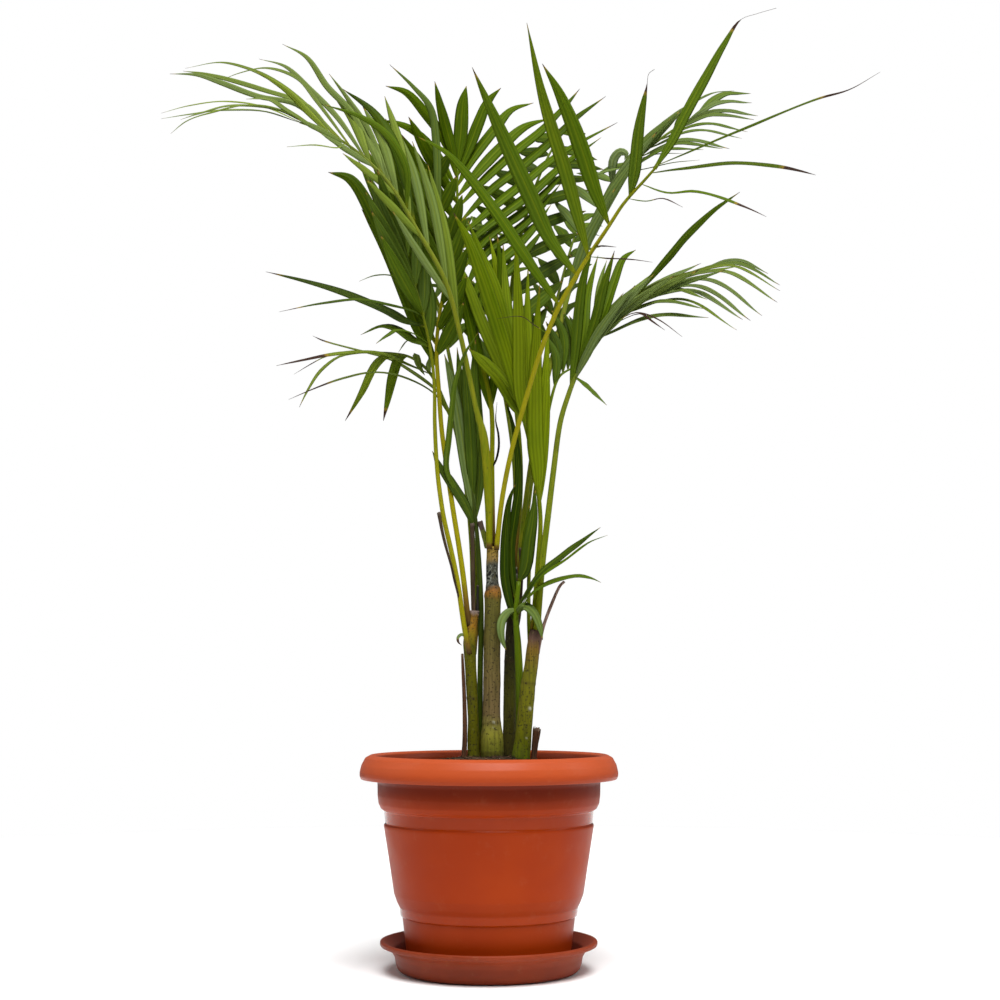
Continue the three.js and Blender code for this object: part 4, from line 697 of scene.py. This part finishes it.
def leaf_look():
    """Green blades with a pale rib, fine veins, a paler underside and dry tips. Their tone is partly
    painted light and shade, and a grey sheen is painted into their colour.
    """
    look = Look("leaf", 0.025)
    along, across, tone, pleat = map(look.value, ("along", "across", "tone", "pleat"))
    patches = look.grain(14, 3)
    shade = tone + (patches - 0.5) * 0.5
    ripple, veins = pleat.math("SINE"), (pleat * 2.6).math("SINE")
    lengthways = Value(add_node(look.tree, "CombineXYZ", across * 5.0, along * 2.5, tone))
    from_rib = across.math("ABSOLUTE")
    end = along + look.value("dry") + (look.grain(120, 3) - 0.5) * 0.07
    dead = look.coats((0.012, 0.010, 0.008), (tone.fade(-0.05, 0.15), (0.05, 0.026, 0.017)))
    green = look.coats(
        (0.013, 0.030, 0.0),
        # lighter or darker by tone, which is partly the leaves' own colour and partly painted light and
        # shade
        (shade.fade(0.0, 0.5), (0.076, 0.132, 0.0002)),
        (shade.fade(0.5, 1.0), (0.20, 0.265, 0.0006)),
        # painted grey sheen
        (look.value("bloom") * 0.75, (0.16, 0.215, 0.08)),
        (ripple.fade(-1.0, 1.0, 0.0, 0.35), (0.024, 0.055, 0.0)),
        (look.grain(1.0, 3, 0.6, lengthways).fade(0.5, 0.75, 0.0, 0.25), (0.22, 0.25, 0.012)),
        (from_rib.fade(0.02, 0.13, 1.0, 0.0) * 0.2, (0.22, 0.27, 0.004)),
        (from_rib.fade(0.88, 1.0, 0.0, 0.25), (0.20, 0.22, 0.004)),
        (look.value("under") * 0.35, (0.10, 0.15, 0.01)),
        (along.fade(0.0, 0.07, 0.7, 0.0), (0.24, 0.25, 0.008)),
        (end.fade(0.955, 0.99, 0.0, 0.8), (0.30, 0.19, 0.03)),
        (end.fade(0.985, 1.01), dead),
        (look.grain(260, 2).fade(0.73, 0.78, 0.0, 0.25), (0.07, 0.045, 0.015)))
    return look.paint(green, patches.fade(0.3, 0.7, 0.36, 0.5), ripple * 0.7 + veins * 0.3, 0.00012, 0.8)


def stalk_look():
    """Smooth petioles, from yellow to green, streaked along, brown and scarred towards the foot, with a
    grey sheen painted on towards the end.
    """
    look = Look("stalk", 0.08)
    streaks = look.grain(60, 4, 0.5, look.stretched(6, 6, 0.5))
    blend = look.value("yellow") + (streaks - 0.5) * 0.8
    foot = look.value("foot") + look.grain(40, 4) * 0.5
    colour = look.coats(
        (0.02, 0.035, 0.001),
        (blend.fade(-1.0, 0.0), (0.085, 0.14, 0.001)),
        (blend.fade(0.0, 1.0), (0.285, 0.255, 0.004)),
        # painted grey sheen, growing towards the stalk's end
        (look.value("bloom") * 0.5, (0.23, 0.28, 0.07)),
        (look.grain(35, 3).fade(0.6, 0.75, 0.0, 0.35), (0.07, 0.08, 0.008)),
        (foot.fade(0.7, 1.25, 1.0, 0.0), (0.17, 0.10, 0.012)),
        (foot.fade(0.35, 0.8, 0.7, 0.0), (0.05, 0.03, 0.012)),
        (look.grain(330, 2).fade(0.66, 0.74, 0.0, 0.6), (0.05, 0.04, 0.012)))
    return look.paint(colour, streaks.fade(0.3, 0.7, 0.34, 0.48), streaks, 0.0003, 0.6)


def cane_look(name, bark):
    """Mottled bark in these colours from the soil up, with dark specks, scars, and pale knobs that also
    carry a painted highlight.
    """
    look = Look(name, 0.08)
    height = look.value("height")
    fibres = look.grain(90, 5, 0.6, look.stretched(5, 5, 0.35))
    pits = look.grain(480, 1).fade(0.6, 0.68) * look.grain(60, 2).fade(0.28, 0.45)
    crust = height.fade(378, 384) * height.fade(399, 405, 1.0, 0.0)
    colour = look.coats(
        look.ramp(height + (look.grain(70, 4) - 0.5) * 16.0, np.reshape(bark, (-1, 4))),
        (fibres.fade(0.42, 0.68, 0.0, 0.5), (0.04, 0.036, 0.01)),
        (pits * 0.8, (0.018, 0.014, 0.008)),
        (crust * look.grain(330, 3).fade(0.5, 0.6) * 0.8, (0.20, 0.21, 0.17)),
        (crust * look.grain(260, 3).fade(0.42, 0.5, 1.0, 0.0), (0.012, 0.012, 0.011)),
        (look.grain(420, 2).fade(0.64, 0.72, 0.0, 0.35), (0.2, 0.18, 0.06)),
        (look.value("scar") * 0.45, (0.05, 0.03, 0.012)),
        ((height + look.grain(110, 3) * 14.0).fade(214, 219, 0.9, 0.0), (0.02, 0.013, 0.01)),
        # pale knobs: their own pale colour, with a painted highlight on them
        (look.value("knob"), (0.42, 0.42, 0.30)))
    return look.paint(colour, fibres.fade(0.3, 0.7, 0.45, 0.7), fibres * 0.7 + pits * -0.5, 0.0006, 0.7)


def dry_look(name, light, dark, end=None):
    """Withered fibrous leftovers, with another colour for the upper end of those still half green."""
    look = Look(name, 0.2)
    fibres, along = look.grain(110, 5, 0.65, look.stretched(5, 5, 0.4)), look.value("along")
    colour = look.coats(
        dark, (fibres.fade(0.35, 0.65), light), *([(along.fade(0.55, 0.7), end)] if end else []),
        (along.fade(0.95, 1.0, 0.0, 0.5), (0.16, 0.12, 0.09)),
        (look.grain(200, 2).fade(0.6, 0.7, 0.0, 0.5), (0.04, 0.025, 0.015)))
    return look.paint(colour, fibres.fade(0.3, 0.7, 0.7, 0.9), fibres, 0.0009, 0.8)


def soil_look():
    """Dark crumbly potting soil, with the value chip for lighter bark and grains."""
    look = Look("soil", 0.08)
    crumbs, chip = look.grain(160, 6, 0.7), look.value("chip")
    bark = look.coats((0.035, 0.018, 0.009), (look.grain(300, 3), (0.17, 0.10, 0.055)))
    colour = look.coats(
        (0.012, 0.007, 0.004), (crumbs.fade(0.35, 0.7), (0.075, 0.045, 0.026)),
        (chip.fade(0.1, 0.3), bark), (chip.fade(0.85, 0.95), (0.42, 0.38, 0.31)))
    cells = Value(add_node(look.tree, "TexVoronoi", look.where, None, 240), "Distance")
    return look.paint(colour, crumbs.fade(0.3, 0.7, 0.8, 0.95), crumbs - cells * 0.6, 0.002, 0.9)


def pot_look(name, specular, smoothest, roughest):
    """Terracotta-coloured moulded plastic, satin or glossy, with painted light and shade: the rim is
    painted lighter towards its top and darker below, and painted shade darkens the wall under the rim's
    overhang and the inside of the rim. The rougher it is, the more its surface is dimpled."""
    look = Look(name, specular)
    height = look.up().math("DIVIDE", MM)
    reach = Value(add_node(look.tree, "VectorMath", look.stretched(1, 1, 0), operation="LENGTH"), "Value")
    # The rim's colour is painted light: lighter towards its top, darker on its lower part
    rim = look.coats((0.33, 0.042, 0.007), (height.fade(189, 201), (0.42, 0.068, 0.018)))
    colour = look.coats(
        (0.29, 0.027, 0.0004),
        (look.grain(9, 3).fade(0.35, 0.65), (0.33, 0.035, 0.001)),
        # painted shade on the wall under the rim's overhang
        (height.fade(162, 182) * height.fade(187.6, 188.2, 1.0, 0.0) * 0.75, (0.10, 0.007, 0.0002)),
        (height.fade(187.4, 188), rim),
        (look.grain(55, 5, 0.7).fade(0.55, 0.75, 0.0, 0.1), (0.4, 0.14, 0.07)),
        # painted shade on the inside of the rim, above the soil
        (reach.fade(0.1118, 0.1140, 1.0, 0.0) * height.fade(184, 190) * 0.85, (0.15, 0.016, 0.002)))
    satin = look.grain(30, 4).fade(0.3, 0.7, smoothest, roughest)
    return look.paint(colour, satin, look.grain(900, 2), 0.00012, roughest)


def saucer_look():
    """The saucer's duller, browner plastic with faint turned lines and dust."""
    look = Look("saucer", 0.15)
    clouds, lines = look.grain(14, 4), (look.up() * 9000.0).math("SINE")
    colour = look.coats(
        (0.19, 0.027, 0.007), (clouds.fade(0.35, 0.65), (0.24, 0.036, 0.010)),
        (look.grain(80, 5, 0.7).fade(0.55, 0.8, 0.0, 0.25), (0.32, 0.14, 0.07)))
    relief = lines * 0.15 + look.grain(700, 2)
    return look.paint(colour, clouds.fade(0.3, 0.7, 0.42, 0.55), relief, 0.00014, 0.5)


# Turned pieces

def rounded(profile, radius, steps=4):
    """A profile whose corners away from the axis are rounded."""
    path, points = [profile[0]], [Vector(point) for point in profile]
    for before, corner, after in zip(points, points[1:], points[2:]):
        start, end = before - corner, after - corner
        reach = min(radius, start.length * 0.45, end.length * 0.45)
        first, last = corner + start.normalized() * reach, corner + end.normalized() * reach
        for t in np.linspace(0, 1, steps + 1):
            path.append(tuple(first * (1 - t) ** 2 + corner * 2 * t * (1 - t) + last * t * t))
    return [*path, profile[-1]]


def divided(profile, longest):
    """A profile with more points on its long straight stretches."""
    path = [profile[0]]
    for start, end in zip(profile, profile[1:]):
        steps = max(1, math.ceil(math.dist(start, end) / longest))
        path += [tuple(np.array(start) + (np.array(end) - start) * step / steps)
                 for step in range(1, steps + 1)]
    return path


def turned(profile, rounding, wobble, bands=()):
    """A profile that starts and ends on the axis, with rounded corners, turned around it. wobble is a
    slight unevenness, and bands are stretches with another material."""
    profile = divided(rounded(profile, rounding), longest=6)
    points = []
    for radius, height in profile[1:-1]:
        for turn in turns(LATHE_SIDES):
            x, y = math.cos(turn), math.sin(turn)
            reach = radius + wobble * noise.noise(Vector((x * 1.6, y * 1.6, height / 60)))
            points.append((reach * x, reach * y, height))
    faces = tube_faces(len(profile) - 2, LATHE_SIDES)
    top, last = len(points), len(points) - LATHE_SIDES
    points += [(0, 0, profile[0][1]), (0, 0, profile[-1][1])]
    for side in range(LATHE_SIDES):
        after = (side + 1) % LATHE_SIDES
        faces += [(top, after, side), (top + 1, last + side, last + after)]
    slots = []
    for face in faces:
        x, y, height = np.mean([points[corner] for corner in face], axis=0)
        slots.append(max([0, *(slot for low, high, least, slot in bands
                               if low < height < high and math.hypot(x, y) > least)]))
    shape = Shape()
    shape.add(points, faces, slots)
    return shape


def drill(piece):
    """Cuts the drain holes through the pot's floor."""
    cutter, sides = Shape(), 32
    for turn in turns(DRAIN_HOLES):
        x, y = DRAIN_CIRCLE * math.cos(turn), DRAIN_CIRCLE * math.sin(turn)
        cutter.add([(x + DRAIN_RADIUS * math.cos(around), y + DRAIN_RADIUS * math.sin(around), height)
                    for height in (-5, 20) for around in turns(sides)], loft_faces(2, sides))
    tool = put("drill", mesh_of("drill", cutter.points, cutter.faces))
    cut = piece.modifiers.new("drain_holes", "BOOLEAN")
    cut.operation, cut.object, cut.solver = "DIFFERENCE", tool, "EXACT"
    bpy.context.view_layer.update()
    done = bpy.data.meshes.new_from_object(piece.evaluated_get(bpy.context.evaluated_depsgraph_get()))
    piece.modifiers.clear()
    piece.data = done
    bpy.data.objects.remove(tool)


# Soil: an uneven crumbly top on a plain body, strewn with bark and grains

def ground(x, y):
    """The height of the soil's top, which is rough but calm at the pot's wall."""
    far = math.hypot(x, y)
    rough = noise.noise(Vector((x / 14, y / 14, 3))) * 2.2 + noise.noise(Vector((x / 4, y / 4, 7))) * 1.1
    return float(np.interp(far, *zip(*SOIL_TOP))) + rough * min(1.0, (110 - far) / 12)


def soil_shape():
    shape, dice = Shape(), Dice(SEED + 1)
    points = [(0, 0, ground(0, 0))]
    for ring in range(SOIL_RINGS):
        radius = SOIL_TOP[-1][0] * (ring + 1) / SOIL_RINGS
        for x, y in [(radius * math.cos(turn), radius * math.sin(turn)) for turn in turns(SOIL_SIDES)]:
            points.append((x, y, ground(x, y)))
    for radius, height in SOIL_SIDE:
        points += [(radius * math.cos(turn), radius * math.sin(turn), height)
                   for turn in turns(SOIL_SIDES)]
    faces = [(0, 1 + side, 1 + (side + 1) % SOIL_SIDES) for side in range(SOIL_SIDES)]
    faces += tube_faces(SOIL_RINGS + len(SOIL_SIDE), SOIL_SIDES, 1)
    faces.append(tuple(range(len(points) - SOIL_SIDES, len(points))))
    shape.add(points, faces, chip=0.0)
    for _ in range(SOIL_CHIPS):
        turn, far = dice.roll(0, 2 * math.pi), CHIP_REACH * math.sqrt(dice.roll())
        x, y = far * math.cos(turn), far * math.sin(turn)
        chip(shape, dice, np.array([x, y, ground(x, y)]))
    return shape


def chip(shape, dice, centre):
    """A flake of bark, a crumb, or now and then a pale grain, half sunk at centre."""
    kind = dice.roll()
    pale = kind > 0.955
    long, wide, thick = ((1.3, 1.2, 1.1) if pale else
                         (dice.roll(2.5, 8), dice.roll(1.2, 3), dice.roll(0.6, 1.6)) if kind > 0.62 else
                         (dice.roll(1.2, 2.6), dice.roll(1, 2.2), dice.roll(0.9, 1.8)))
    turn, lean = dice.roll(0, math.pi), dice.roll(-0.5, 0.5)
    forward = unit([math.cos(turn), math.sin(turn), lean])
    side = unit(np.cross([0, 0, 1], forward))
    over = np.cross(forward, side)
    points = []
    for share, size in ((-1, 0.35), (-0.6, 0.85), (0, 1), (0.55, 0.9), (1, 0.3)):
        for around in turns(6):
            reach = size * dice.roll(0.75, 1.15) / 2
            points.append(centre + forward * share * long / 2 + side * math.cos(around) * wide * reach
                          + over * math.sin(around) * thick * reach + np.array([0, 0, thick * 0.25]))
    bark = 1.0 if pale else dice.roll(0.32, 0.8) if kind > 0.5 else 0.15
    shape.add(points, loft_faces(5, 6), chip=bark)


# Canes and stubs

def rod(centres, radii, sides, extra=lambda turn, index: 0):
    """Rings of a round rod. extra is added to the radius."""
    along = tangents_of(centres)
    side = unit(np.cross(along, [0, 1, 0]))
    front = np.cross(side, along)
    points = []
    for index, centre in enumerate(centres):
        for turn in turns(sides):
            reach = radii[index] + extra(turn, index)
            points.append(centre + (side[index] * math.cos(turn) + front[index] * math.sin(turn)) * reach)
    return np.array(points)


def cane_line(cane):
    """Middle line of a cane, and the radii there."""
    points = np.reshape(cane.stalk, (-1, 4))
    return places(points[:, :3]), points[:, 3]


def cane_shape(name, cane):
    """A cane with ring scars, a collar, knobs and uneven bark."""
    centres, widths = cane_line(cane)
    across, back, up = centres.T
    heights = np.arange(up[0], up[-1] + 0.01, CANE_STEP)
    line = np.stack([np.interp(heights, up, axis) for axis in (across, back, up)], 1)
    radii = np.convolve(np.pad(np.interp(heights, up, widths), 4, "edge"), np.ones(9) / 9, "valid")
    low, high, thick = cane.collar
    scars = sum(np.exp(-((heights - ring) / 1.5) ** 2) for ring in cane.rings)
    knobs = np.zeros((len(heights), CANE_SIDES))
    for turn, height, size in np.reshape(cane.knobs, (-1, 3)):
        gap = np.radians((np.degrees(turns(CANE_SIDES)) - turn + 180) % 360 - 180)
        reach = np.hypot(gap * radii[:, None], (heights - height)[:, None])
        knobs = np.maximum(knobs, np.exp(-(reach / (size * 1.2)) ** 2) * size)

    def extra(turn, index):
        x, y = math.cos(turn), math.sin(turn)
        spot = Vector((x * 1.3, y * 1.3, heights[index] / 14 + len(name)))
        bark = noise.noise(spot) * 0.35 + noise.noise(spot * 4) * 0.12
        torn = high + 7 * noise.noise(Vector((x * 2.5, y * 2.5, 9)))
        collar = thick if low < heights[index] < torn else 0
        side = round(turn * CANE_SIDES / (2 * math.pi)) % CANE_SIDES
        return bark + collar + scars[index] * 0.3 + knobs[index, side]

    shape = Shape()
    shape.add(rod(line, radii, CANE_SIDES, extra), loft_faces(len(line), CANE_SIDES),
              height=np.repeat(heights, CANE_SIDES), scar=np.repeat(np.clip(scars, 0, 1), CANE_SIDES),
              knob=np.clip(knobs.ravel() * 1.2, 0, 1))
    return shape


def stalk_radius(stem, share):
    return np.interp(share, np.linspace(0, 1, len(stem.radii)), stem.radii)


def stalk_line(stem, steps):
    """Middle line, radii and shares of a stalk, in that many steps."""
    shares = np.linspace(0, 1, steps + 1)
    return spline(places(stem.stalk), shares), stalk_radius(stem, shares), shares


def reach_of(stem):
    """How far its stalk's points count."""
    return len(stem.stalk) // 3 - 1


def stub_shape(stub, tear):
    """A withered stalk, wrinkled along and torn at its end."""
    line, radii, shares = stalk_line(stub, STUB_STEPS)
    points = rod(line, radii, STUB_SIDES, lambda turn, index: 0.24 * radii[index] * noise.noise(
        Vector((math.cos(turn) * 2.2, math.sin(turn) * 2.2, index / 9 + radii[0]))))
    for side in range(STUB_SIDES):
        torn = tear * noise.noise(Vector((side * 0.9, radii[0] * 3, 2))) * radii[-1] / 2
        points[side - STUB_SIDES] += tangents_of(line)[-1] * torn
    shape = Shape()
    shape.add(points, loft_faces(len(line), STUB_SIDES), along=np.repeat(shares, STUB_SIDES))
    return shape


# Fronds

Leaflet = namedtuple("Leaflet", "route width face root peak")


def leaflets_of(frond, dice):
    """The frond's leaflets: the route, width, upper side and root of each, and where it is broadest."""
    points, reach = places(frond.stalk), reach_of(frond)
    leaflets = []

    def add(at, route, width, face, peak):
        across, up, back = face
        turn = unit([across, back, up]) + 0.08 * (np.array([dice.roll() for _ in range(3)]) - 0.5)
        leaflets.append(Leaflet(route, width * dice.roll(0.94, 1.06), unit(turn),
                                stalk_radius(frond, at / reach) * ROOT, peak))

    for first, last, count, width, *rest in frond.row:
        face, arch, tips = rest[:3], rest[3:5], rest[5:]
        starts = np.linspace(first, last, int(count)) / reach
        ends = spline(places(tips), np.linspace(0, 1, len(starts)))
        for base, start, tip in zip(spline(points, starts), starts, ends):
            middle = (base + tip) / 2 + np.array([arch[0], 0, arch[1]]) * np.linalg.norm(tip - base)
            add(start * reach, [base, middle, tip], width, face, ROW_PEAK)
    for at, width, *rest in frond.leaf:
        route = [spline(points, [at / reach])[0], *places(rest[3:])]
        add(at, route, width, rest[:3], SINGLE_PEAK)
    return leaflets


def frame_along(leaflet, shares):
    """The middle line of a leaflet, and its directions sideways and over."""
    line = spline(leaflet.route, shares, tension=0)
    forward = tangents_of(line)
    side = unit(np.cross(forward, leaflet.face))
    return line, side, np.cross(side, forward)


def half_width(leaflet, share):
    """Half the blade's width: a quick swell from the root, and a long fall to the point."""
    full, peak = leaflet.width / 2, leaflet.peak
    if share < peak:
        return full - (full - leaflet.root) * (1 - share / peak) ** 2
    return max(full * (1 - (min(share, 1) - peak) ** 2.2 / (1 - peak) ** 2.2), THREAD)


class Obstacle:
    """A skin already in place, with the node that it belongs to."""

    def __init__(self, owner, points, faces):
        self.owner = owner
        self.low, self.high = np.min(points, axis=0), np.max(points, axis=0)
        self.tree = BVHTree.FromPolygons([tuple(point) for point in points], faces)

    def meets(self, other):
        return bool(np.all(self.low < other.high) and np.all(other.low < self.high)
                    and self.tree.overlap(other.tree))


def rod_obstacle(owner, line, radii, sides):
    return Obstacle(owner, rod(line, radii, sides), loft_faces(len(line), sides))


def blade_obstacle(owner, leaflet, start=0.0, grow=CLEARANCE):
    """A few-sided skin of a leaflet from start on, grown by a little, to test what it touches."""
    shares = np.linspace(start, 1, 9)
    points = []
    for share, middle, side, over in zip(shares, *frame_along(leaflet, shares)):
        half = half_width(leaflet, share) + grow
        points += [middle - side * half - over * grow, middle + over * (RIB + grow),
                   middle + side * half - over * grow]
    return Obstacle(owner, points, loft_faces(len(shares), 3))


# How far a leaflet may be moved along the line of sight until it is clear, nearest first

SHIFTS = (0, 7, -7, 14, -14, 22, -22, 32, -32, 45, -45, 60, -60)


def clear_leaflet(owner, leaflet, obstacles, siblings):
    """The leaflet where it is clear of every other node and, if it can be, of its siblings. It moves
    along the line of sight, most at its tip."""
    second = None
    last = len(leaflet.route) - 1
    for distance in SHIFTS:
        moved = leaflet._replace(route=[point + unit(point - EYE) * distance * math.sqrt(index / last)
                                        for index, point in enumerate(leaflet.route)])
        skin = blade_obstacle(owner, moved)
        if any(skin.meets(other) for other in obstacles if other.owner != owner):
            continue
        outer = blade_obstacle(owner, moved, start=0.3, grow=0.2)
        if not any(outer.meets(sibling) for sibling in siblings):
            return moved
        second = second or moved
    return second


# Across a blade, from edge to edge: its upper side, and back along its underside

ACROSS_TOP = (-1, -0.72, -0.42, -0.14, 0, 0.14, 0.42, 0.72, 1)
ACROSS_UNDER = (0.72, 0.36, 0, -0.36, -0.72)


def blade(shape, leaflet, dice, tone, bloom, dry, breadth=0.0, *thread):
    """Adds one leaflet: a thin sheet folded along its rib, slightly wavy and twisted, with a thread at
    its end or a shrivelled end of that breadth."""
    last = len(leaflet.route) - 1
    leaflet = leaflet._replace(route=[*leaflet.route, *places(thread)])
    length = np.sum(np.linalg.norm(np.diff(leaflet.route, axis=0), axis=1))
    stations = int(min(36, max(16, length / 6)))  # a ring every 6 mm or so
    spots = np.linspace(0, 1, stations)
    shares = spots * (len(leaflet.route) - 1) / last
    twist, phase = dice.roll(-0.22, 0.22), dice.roll(0, 6.28)
    sway = dice.roll(-0.006, 0.006) * length
    cross = np.array(ACROSS_TOP + ACROSS_UNDER)
    under = np.arange(len(cross)) >= len(ACROSS_TOP)
    points = []
    for share, middle, side, over in zip(shares, *frame_along(leaflet, spots)):
        withering = min(max((share - 0.8) / 0.22, 0.0), 1.0)
        half = max(half_width(leaflet, share), breadth / 2 * (1 - withering ** 3))
        turn = twist * share
        across = side * math.cos(turn) + over * math.sin(turn)
        rise = over * math.cos(turn) - side * math.sin(turn)
        middle = middle + side * sway * math.sin(math.pi * min(share, 1)) ** 2
        fold = RIB * min(1.0, half / 4) * min(1.0, 0.35 + share * 4)
        sheet = SHEET * min(1.0, 0.3 + half / 3)
        for u, below in zip(cross, under):
            ridge = fold * (1 - abs(u)) ** 0.9 + 0.1 * fold * math.cos(abs(u) * 9)
            wave = math.sin(share * 19 + phase + (1.5 if u > 0 else 0)) * min(half / 5, 1)
            height = ridge + 0.35 * u * u * wave - sheet * below
            points.append(middle + across * half * u + rise * height)
    tone, bloom = tone + dice.roll(-0.13, 0.13), bloom * dice.roll(0.5, 1.3)
    across = np.tile(cross, stations)
    shape.add(points, loft_faces(stations, len(cross)), across=across, along=np.repeat(shares, len(cross)),
              under=np.tile(under, stations) * 1.0, pleat=across * leaflet.width * 0.85, tone=tone,
              bloom=bloom, dry=dry)


def frond_shape(name, frond, leaflets):
    """The stalk and the leaflets of a frond as one skin."""
    shape, dice = Shape(), Dice(SEED + len(name) * 7 + len(leaflets))
    line, radii, shares = stalk_line(frond, reach_of(frond) * STALK_STEPS)
    tone, bloom, yellow, foot = frond.look
    faces = loft_faces(len(line), STALK_SIDES)
    shape.add(rod(line, radii * (1 + 0.12 * np.exp(-(shares / 0.03) ** 2)), STALK_SIDES), faces,
              [1] * len(faces), foot=np.repeat(shares / foot, STALK_SIDES),
              yellow=np.repeat(yellow - 0.8 * abs(yellow) * shares ** 2, STALK_SIDES),
              bloom=np.repeat(bloom * shares, STALK_SIDES))
    for number, leaflet in enumerate(leaflets, len(frond.leaf) - len(leaflets)):
        tint, dry = frond.tint.get(number, (tone, bloom)), (dice.roll(0.0, 0.035),)
        if leaflet:
            blade(shape, leaflet, dice, *tint, *frond.dry.get(number, dry))
    return shape


# The pieces

plastic = [pot_look("pot", 0.11, 0.38, 0.48), pot_look("pot_band", 0.14, 0.10, 0.14),
           pot_look("pot_rim", 0.14, 0.36, 0.44)]
drill(turned(POT_PROFILE, rounding=1.1, wobble=0.35, bands=BANDS).build("pot_shell", plastic, "pot", "pot"))
saucer = turned(SAUCER_PROFILE, rounding=1.4, wobble=0.3)
saucer.build("saucer_dish", [saucer_look()], "saucer", "saucer")
soil_shape().build("soil_fill", [soil_look()], "soil", "soil")
for name, cane in CANES.items():
    cane_shape(name, cane).build(name + "_bark", [cane_look(name, cane.bark)], "cane", name)
dry_looks = {name: dry_look(name, *colours) for name, colours in DRY.items()}
for name, stub in STUBS.items():
    husk = stub_shape(stub, tear=5.0 if name == "stub_snapped" else 1.6)
    husk.build(name + "_husk", [dry_looks[HUSKS.get(name, "dry_brown")]], "dry_stub", name)

leaf_looks = [leaf_look(), stalk_look()]
obstacles = [rod_obstacle(name, *cane_line(cane), sides=8) for name, cane in CANES.items()]
for name, stem in {**FRONDS, **STUBS}.items():
    line, radii, _ = stalk_line(stem, reach_of(stem))
    obstacles.append(rod_obstacle(name, line, radii, sides=6))
dice = Dice(SEED)
for name, frond in FRONDS.items():
    kept, siblings = [], []
    for leaflet in leaflets_of(frond, dice):
        clear = clear_leaflet(name, leaflet, obstacles, siblings)
        kept.append(clear)
        if clear:
            siblings.append(blade_obstacle(name, clear, start=0.3, grow=0.0))
            obstacles.append(blade_obstacle(name, clear, grow=0.0))
    frond_shape(name, frond, kept).build(name + "_leaves", leaf_looks, "leaf", name)


# Floor, light and camera

white = Look("floor", 0.1, roughness=0.9)
cloud = (white.grain(3, 2).fade(0.3, 0.7), (0.97 * 0.99,) * 3)
edge = [(1700 * math.cos(turn), 1700 * math.sin(turn), 0) for turn in turns(96)]
floor = put("floor", mesh_of("floor", edge, [tuple(range(len(edge)))]))
floor.data.materials.append(white.paint(white.coats((0.97, 0.97, 0.97), cloud)))


def aim(lamp, direction):
    lamp.rotation_euler = Vector(direction).to_track_quat("-Z", "Y").to_euler()


def softbox(name, place_at, target, size, power):
    """A large soft area light."""
    light = bpy.data.lights.new(name, "AREA")
    light.shape, light.size, light.size_y, light.energy = "RECTANGLE", *size, power
    lamp = put(name, light)
    lamp.location = place_at
    aim(lamp, Vector(target) - Vector(place_at))


softbox("key", (0.3, -1.8, 2.8), (0, 0, 0.35), (1.6, 1.1), 38)
softbox("side_left", (-2.6, 0.1, 1.9), (0, 0, 0.5), (1.2, 2.0), 12)
softbox("side_right", (2.6, 0.1, 1.9), (0, 0, 0.5), (1.2, 2.0), 19)
day = bpy.data.lights.new("day", "SUN")
day.energy, day.angle = 3.5, math.radians(45)
aim(put("day", day), (-0.06, 0.38, -1))

# A white studio seen by the camera; what lights the plant is brighter behind and beside it than in front

world = bpy.data.worlds.new("studio")
bpy.context.scene.world = world
world.use_nodes = True
sky = world.node_tree
toward = Value(add_node(sky, "SeparateXYZ", Value(add_node(sky, "TexCoord"), "Generated")), "Y")
seen = Value(add_node(sky, "LightPath"), "Is Camera Ray")
power = seen.math("MAXIMUM", toward.fade(-0.25, 0.25, 0.06, 0.22))
background = sky.nodes["Background"].inputs
background["Color"].default_value = (1, 1, 1, 1)
sky.links.new(power.socket, background["Strength"])
bpy.context.scene.view_settings.view_transform = "Standard"

lens = bpy.data.cameras.new("camera")
lens.lens, lens.sensor_width = LENS, SENSOR
camera = put("camera", lens)
camera.location = EYE * MM
camera.rotation_euler = (math.radians(90 + EYE_PITCH), 0, 0)
bpy.context.scene.camera = camera
